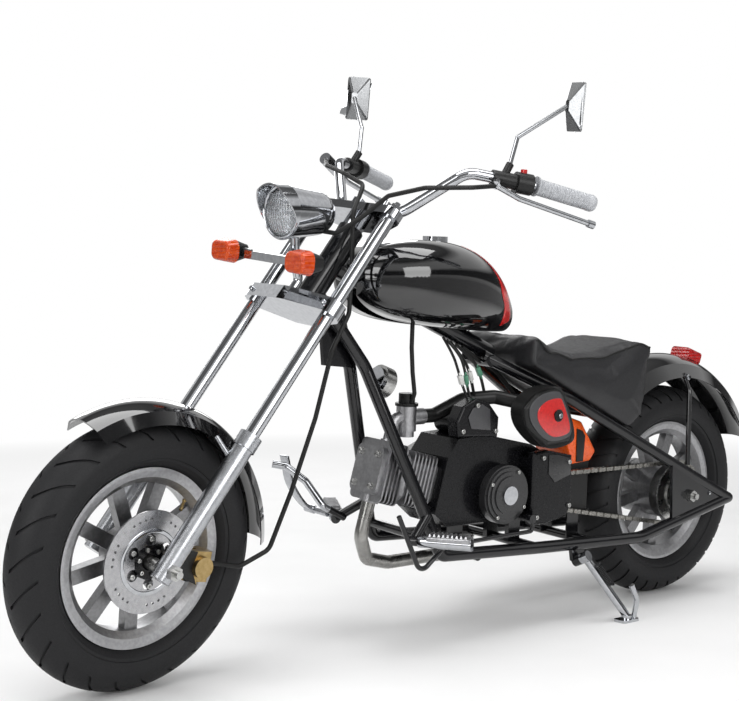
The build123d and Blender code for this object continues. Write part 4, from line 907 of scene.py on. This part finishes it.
# Air filter cover: a rounded three-cornered shell with its satin panel, red inset and bolt
POD_LINE = (
    (591, 492), (552, 523), (498, 531), (473, 516), (436, 437), (446, 407), (519, 402), (580, 447),
)
POD_MIDDLE = Vector((498, 0, 472))
BOSS_SECTION = ((0, 0), (13, 0), (13, 2.4), (11, 3.6), (8, 3.0), (0, 3.0))
BOSS_X, BOSS_Z = 493, 470


def pod_plate(name, share, low, high, rounding, finish, shift=(0, 0)):
    """One layer of the filter cover, a smooth copy of its outline with an eased rim."""
    middle = POD_MIDDLE + Vector((shift[0], 0, shift[1]))
    corners = [middle + (Vector((x, 0, z)) - POD_MIDDLE) * share for x, z in POD_LINE]
    line = flowing(corners, 6, closed=True)
    piece = drawn(name, [at(place.x, low, place.z) for place in line])
    bpy.ops.mesh.edge_face_add()
    draw_out(0, (high - low) * MM, 0)
    bpy.ops.mesh.inset(thickness=rounding * MM, depth=rounding * 0.5 * MM)
    bpy.ops.mesh.inset(thickness=rounding * MM, depth=rounding * 0.2 * MM)
    sealed()
    return settle(piece, UPRIGHT, "frame", finish, 50)


pod_plate("filter_shell", 1.0, 108, 143.5, 5.5, black_plastic)
pod_plate("filter_panel", 0.80, 146.0, 148.6, 1.2, satin_grey, (3, 2))
pod_plate("filter_inset", 0.62, 148.8, 150.4, 0.8, red_paint, (-2, -2))
boss = lathed("filter_boss", BOSS_SECTION, 32)
settle(boss, UPRIGHT @ aimed(at(BOSS_X, 150.2, BOSS_Z), LEFT), "frame", black_plastic)
filter_bolt = [(at(BOSS_X, 153, BOSS_Z), LEFT, 5.5)]
fasteners("filter_bolt", screw_head, filter_bolt, UPRIGHT, "frame", chrome)


def plated(name, outline, low, high, rim, finish):
    """A flat plate or block cut to an outline seen from the left, with eased edges."""
    piece = drawn(name, [at(x, low, z) for x, z in outline])
    bpy.ops.mesh.edge_face_add()
    draw_out(0, (high - low) * MM, 0)
    sealed()
    bpy.ops.mesh.bevel(offset=rim * MM, segments=3, affect="EDGES")
    return settle(piece, UPRIGHT, "frame", finish)


# Battery case with its strap, leaning back over the battery, and light panels on two engine covers
CASE_LINE = ((362, 450), (318, 436), (268, 366), (286, 344), (346, 340), (366, 396))
STRAP_LINE = ((334, 346), (336, 422), (318, 416), (308, 404), (312, 346))
STARTER_LINE = ((636, 440), (690, 446), (700, 470), (688, 488), (662, 496), (640, 484))
SPROCKET_LINE = ((398, 364), (398, 330), (446, 316), (466, 336), (466, 378), (440, 376))
plated("battery_case", CASE_LINE, -50, 57.5, 5, orange_plastic)
plated("battery_strap", STRAP_LINE, 57.6, 60.4, 1, black_plastic)
dress(nodes["battery"], black_plastic)
plated("starter_panel", STARTER_LINE, 94.2, 96.4, 1, satin_grey)
plated("sprocket_panel", SPROCKET_LINE, 102.2, 104.2, 0.9, engine_sheen)

# Brake pedal tread: a broad bent strap on a short arm
PEDAL_SIDE = -222
PEDAL_WIDTH = 0.028
PEDAL_LINE = ((872, 243), (892, 258), (914, 284), (930, 312), (938, 344), (944, 366))
ARM_SECTION = ((0, 0), (8, 0), (9, 1), (9, 26), (7, 28), (7, 66), (0, 66))
pedal_tread = drawn("pedal_tread", flowing([at(x, PEDAL_SIDE, z) for x, z in PEDAL_LINE], 3))
draw_out(0, PEDAL_WIDTH, 0)
bpy.ops.object.mode_set(mode="OBJECT")
shaped(pedal_tread, "strap", "SOLIDIFY", thickness=0.006, offset=0)
shaped(pedal_tread, "eased", "BEVEL", width=0.0012, segments=2)
arm_way = Vector((-0.15, 1, -0.06)).normalized()
arm = placed(lathed("pedal_arm", ARM_SECTION, 24), aimed(at(873, -221, 246), arm_way))
settle(joined("pedal_tread", [pedal_tread, arm]), UPRIGHT, "frame", satin_alloy, 40)

# Head fins, square plates with rounded corners round the cylinder head
HEAD_FINS = 5
FIN_START, FIN_PITCH, FIN_THICKNESS = 0.0998, 0.010, 0.0039
fin = start("head_fin", bpy.ops.mesh.primitive_plane_add, size=1)
bpy.ops.transform.resize(value=(0.100, 0.126, 1))
bpy.ops.mesh.bevel(offset=0.012, segments=5, affect="VERTICES")
bpy.ops.mesh.select_all(action="SELECT")
draw_out(0, 0, FIN_THICKNESS)
sealed()
bpy.ops.object.mode_set(mode="OBJECT")
barrel_turn = Matrix((Vector(LEFT), barrel_up, barrel_way)).transposed().to_4x4()
fin_set = []
for index in range(HEAD_FINS):
    fin_place = BARREL_FOOT + barrel_way * (FIN_START + index * FIN_PITCH)
    fin_set.append(copied(fin, Matrix.Translation(fin_place) @ barrel_turn))
discard(fin)
settle(joined("head_fins", fin_set), UPRIGHT, "frame", cast_alloy, 30)

# Foot pegs: a cast tread with teeth along its top
PEG_TEETH = 9
TOOTH_PITCH = 0.0092
TOOTH_LIFT = 0.0070
peg_set = []
for side in SIDES:
    root, tip = at(858, side * 138, 238), at(803, side * 232, 242)
    way = (tip - root).normalized()
    bed_stance = aimed((root * 0.42 + tip * 0.58) + at(0, 0, 9), way)
    peg_set.append(placed(block("peg_bed", (0.036, 0.010, 0.088), 0.003, 3), bed_stance))
    tooth = start("peg_tooth", bpy.ops.mesh.primitive_cube_add, size=1)
    bpy.ops.transform.resize(value=(0.030, 0.006, 0.0055))
    pick(tooth, lambda face: face.normal.y > 0.9)
    bpy.ops.transform.resize(value=(0.86, 1, 0.35))
    bpy.ops.object.mode_set(mode="OBJECT")
    lift = 1 if (bed_stance.to_3x3() @ Vector((0, 1, 0))).z > 0 else -1
    tooth_turn = Matrix.Rotation(0 if lift > 0 else math.pi, 4, "Z")
    for index in range(PEG_TEETH):
        along = (index - (PEG_TEETH - 1) / 2) * TOOTH_PITCH
        spot = Matrix.Translation((0, lift * TOOTH_LIFT, along))
        peg_set.append(copied(tooth, bed_stance @ spot @ tooth_turn))
    discard(tooth)
settle(joined("peg_treads", peg_set), UPRIGHT, "frame", cast_alloy, 30)


def wired(name, route, radius):
    """A round lead on one smooth line, with its route's places as control points."""
    bpy.ops.object.select_all(action="DESELECT")
    bpy.ops.curve.primitive_nurbs_path_add()
    lead = bpy.context.active_object
    lead.name = name
    run = lead.data.splines[0]
    run.points.add(len(route) - len(run.points))
    for point, place in zip(run.points, route):
        point.co = (*at(*place), 1)
    run.order_u = 3
    run.use_endpoint_u = True
    return rounded(lead, radius * MM)


# Wiring runs from the backbone to the engine and the battery, with plugs in line
# Route, radius and the plug's colour: a plug sits halfway between the third place and the fourth
LOOM = (
    (((706, 14, 630), (694, 34, 596), (684, 42, 560), (672, 46, 524), (664, 60, 490),
      (664, 70, 470)), 3.0, "white"),
    (((694, 12, 624), (672, 30, 596), (662, 38, 562), (656, 42, 520), (650, 56, 484),
      (650, 66, 462)), 3.0, "green"),
    (((684, 12, 620), (660, 22, 590), (646, 30, 566), (636, 34, 530), (622, 34, 480),
      (606, 40, 396)), 3.5, "white"),
    (((668, 12, 614), (640, 20, 590), (620, 26, 572), (606, 30, 540), (592, 32, 490),
      (582, 38, 396)), 3.5, "green"),
    (((650, 12, 608), (612, 16, 582), (560, 18, 560), (520, 24, 520), (470, 26, 470),
      (400, 20, 430), (350, 20, 440)), 5.0, None),
)
plug_shape = block("plug_shape", (0.012, 0.009, 0.020), 0.0012, 2)
pick(plug_shape, lambda face: abs(face.normal.z) > 0.9)
bpy.ops.mesh.inset(thickness=0.0015, depth=0, use_individual=True)
bpy.ops.mesh.extrude_faces_move(TRANSFORM_OT_shrink_fatten={"value": 0.006})
bpy.ops.object.mode_set(mode="OBJECT")
plug_sets = {"white": [], "green": []}
leads = []
for route, radius, colour in LOOM:
    leads.append(wired("loom_run", route, radius))
    if colour:
        above, below = at(*route[2]), at(*route[3])
        plug_stance = aimed((above + below) / 2, (below - above).normalized())
        plug_sets[colour].append(copied(plug_shape, plug_stance))
settle(joined("white_plugs", plug_sets["white"]), UPRIGHT, "frame", white_nylon)
settle(joined("green_plugs", plug_sets["green"]), UPRIGHT, "frame", green_nylon)
settle(joined("wiring_loom", leads), UPRIGHT, "frame", hose_rubber)
discard(plug_shape)

# Chain adjusters at the axle plates, and the fender strut bolts
ROD_SECTION = (
    (0, 0), (3.6, 0), (3.6, 16), (7.5, 16), (7.5, 22), (3.6, 22), (3.6, 32), (0, 33),
)
adjusters = []
for side in SIDES:
    rod = lathed("adjuster", ROD_SECTION, 16)
    adjusters.append(placed(rod, aimed(at(-52, side * 113, 250), (-1, 0, 0))))
settle(joined("chain_adjusters", adjusters), UPRIGHT, "frame", chrome)
strut_bolts = [(at(-11, side * 80.5, 526), (0, side, 0.2), 7) for side in SIDES]
fasteners("strut_bolts", hex_nut, strut_bolts, UPRIGHT, "frame", chrome)

# Switch on the left control housing
SWITCH_ALONG = 0.119
SWITCH_UP = 23
switch = block("kill_switch", (0.012, 0.009, 0.010), 0.002, 2)
hump = bar_at(BAR_HUMP, 1)
bar_way = (bar_at(GRIP_ROOT, 1) - hump).normalized()
switch_place = Matrix.Translation(hump + bar_way * SWITCH_ALONG + at(0, 0, SWITCH_UP))
settle(switch, STEERED @ switch_place, "steering", red_paint)

for pattern in (screw_head, hex_nut):
    discard(pattern)

# Studio: a pale floor that fades to white, a banded sky for the plating and four soft lamps
FLOOR_RADIUS = 40
FADE_START, FADE_END = 1.6, 4.5
bpy.ops.object.select_all(action="DESELECT")
bpy.ops.mesh.primitive_circle_add(vertices=96, radius=FLOOR_RADIUS, fill_type="NGON")
floor = bpy.context.active_object
floor.name = "floor"
paper, tree, shader, coords = new_finish("pale_paper")
grain = speckle(tree, coords, 3, 2)
paper_tone = two_tone(tree, grain, (0.80, 0.80, 0.80), (0.83, 0.83, 0.83))
tree.links.new(paper_tone, shader.inputs["Base Color"])
shader.inputs["Roughness"].default_value = 0.7
shader.inputs["Specular IOR Level"].default_value = 0.2
white = tree.nodes.new("ShaderNodeEmission")
length = tree.nodes.new("ShaderNodeVectorMath")
length.operation = "LENGTH"
tree.links.new(coords, length.inputs[0])
fade = ranged(tree, length.outputs["Value"], 0.0, 1.0, FADE_START, FADE_END)
looked_at = tree.nodes.new("ShaderNodeLightPath").outputs["Is Camera Ray"]
tree.links.new(ranged(tree, looked_at, 0.30, 1.0, 0.0, 1.0), white.inputs["Strength"])


def either(tree, chance, no, yes):
    """One shader or another, by a chance."""
    mix = tree.nodes.new("ShaderNodeMixShader")
    tree.links.new(chance, mix.inputs["Fac"])
    tree.links.new(no, mix.inputs[1])
    tree.links.new(yes, mix.inputs[2])
    return mix.outputs["Shader"]


fading = either(tree, fade, shader.outputs["BSDF"], white.outputs["Emission"])
tree.links.new(fading, tree.nodes["Material Output"].inputs["Surface"])
dress(floor, paper)

world = bpy.data.worlds.new("studio")
bpy.context.scene.world = world
world.use_nodes = True
air = world.node_tree
direction = air.nodes.new("ShaderNodeTexCoord")
split = air.nodes.new("ShaderNodeSeparateXYZ")
air.links.new(direction.outputs["Generated"], split.inputs["Vector"])


def sky(levels, strength):
    """A backdrop whose grey changes with height."""
    ramp = air.nodes.new("ShaderNodeValToRGB")
    ramp.color_ramp.elements[0].color = (*(levels[0][1],) * 3, 1)
    ramp.color_ramp.elements[1].position = levels[-1][0]
    ramp.color_ramp.elements[1].color = (*(levels[-1][1],) * 3, 1)
    for position, level in levels[1:-1]:
        ramp.color_ramp.elements.new(position).color = (level, level, level, 1)
    air.links.new(split.outputs["Z"], ramp.inputs["Fac"])
    backdrop = air.nodes.new("ShaderNodeBackground")
    air.links.new(ramp.outputs["Color"], backdrop.inputs["Color"])
    backdrop.inputs["Strength"].default_value = strength
    return backdrop.outputs["Background"]


# Height and grey of each band
SOFT_BANDS = ((0.0, 0.8), (0.4, 0.5), (1.0, 0.7))
MIRRORED_BANDS = (
    (0.0, 0.45), (0.05, 0.55), (0.10, 0.06), (0.26, 0.05),
    (0.36, 0.75), (0.60, 0.85), (0.72, 0.12), (1.0, 0.40),
)
WHITE_BANDS = ((0.0, 1.0), (0.5, 1.0), (1.0, 1.0))
ray = air.nodes.new("ShaderNodeLightPath")
soft_sky = sky(SOFT_BANDS, 0.55)
mirrored_sky = sky(MIRRORED_BANDS, 1.0)
white_sky = sky(WHITE_BANDS, 1.0)
shown = either(air, ray.outputs["Is Glossy Ray"], soft_sky, mirrored_sky)
shown = either(air, ray.outputs["Is Transmission Ray"], shown, white_sky)
shown = either(air, ray.outputs["Is Camera Ray"], shown, white_sky)
air.links.new(shown, air.nodes["World Output"].inputs["Surface"])


def softbox(name, place, target, width, height, watts):
    """A large soft lamp that faces the machine."""
    bpy.ops.object.light_add(type="AREA", location=place)
    lamp = bpy.context.active_object
    lamp.name = name
    lamp.rotation_euler = (Vector(target) - Vector(place)).to_track_quat("-Z", "Y").to_euler()
    lamp.data.shape = "RECTANGLE"
    lamp.data.size = width
    lamp.data.size_y = height
    lamp.data.energy = watts


softbox("top_softbox", (0.2, 0.3, 3.4), (0, 0, 0.4), width=3.4, height=2.2, watts=95)
softbox("left_softbox", (0.3, 3.4, 1.6), (0, 0, 0.5), width=2.6, height=1.8, watts=60)
softbox("front_softbox", (3.6, 0.6, 1.5), (0.4, 0, 0.5), width=1.8, height=1.8, watts=45)
softbox("back_softbox", (-1.2, -3.2, 1.9), (0, 0, 0.6), width=2.4, height=1.6, watts=40)

# Camera at the photograph's stance, from the upright machine's own axes
CAMERA_RIGHT = Vector((-0.78309, 0.62087, 0.03413))
CAMERA_UP = Vector((-0.0235, -0.08345, 0.99624))
CAMERA_PLACE = (2.639, 2.194, 0.829)
CAMERA_LENS = 68.2
FILM_WIDTH = 36
FAR_END = 200
bpy.ops.object.camera_add()
camera = bpy.context.active_object
camera_back = CAMERA_RIGHT.cross(CAMERA_UP)
camera_stance = Matrix((CAMERA_RIGHT, CAMERA_UP, camera_back)).transposed().to_4x4()
camera_stance.translation = CAMERA_PLACE
camera.matrix_world = UPRIGHT @ camera_stance
camera.data.lens = CAMERA_LENS
camera.data.sensor_width = FILM_WIDTH
camera.data.clip_end = FAR_END
bpy.context.scene.camera = camera
bpy.context.scene.view_settings.view_transform = "Standard"
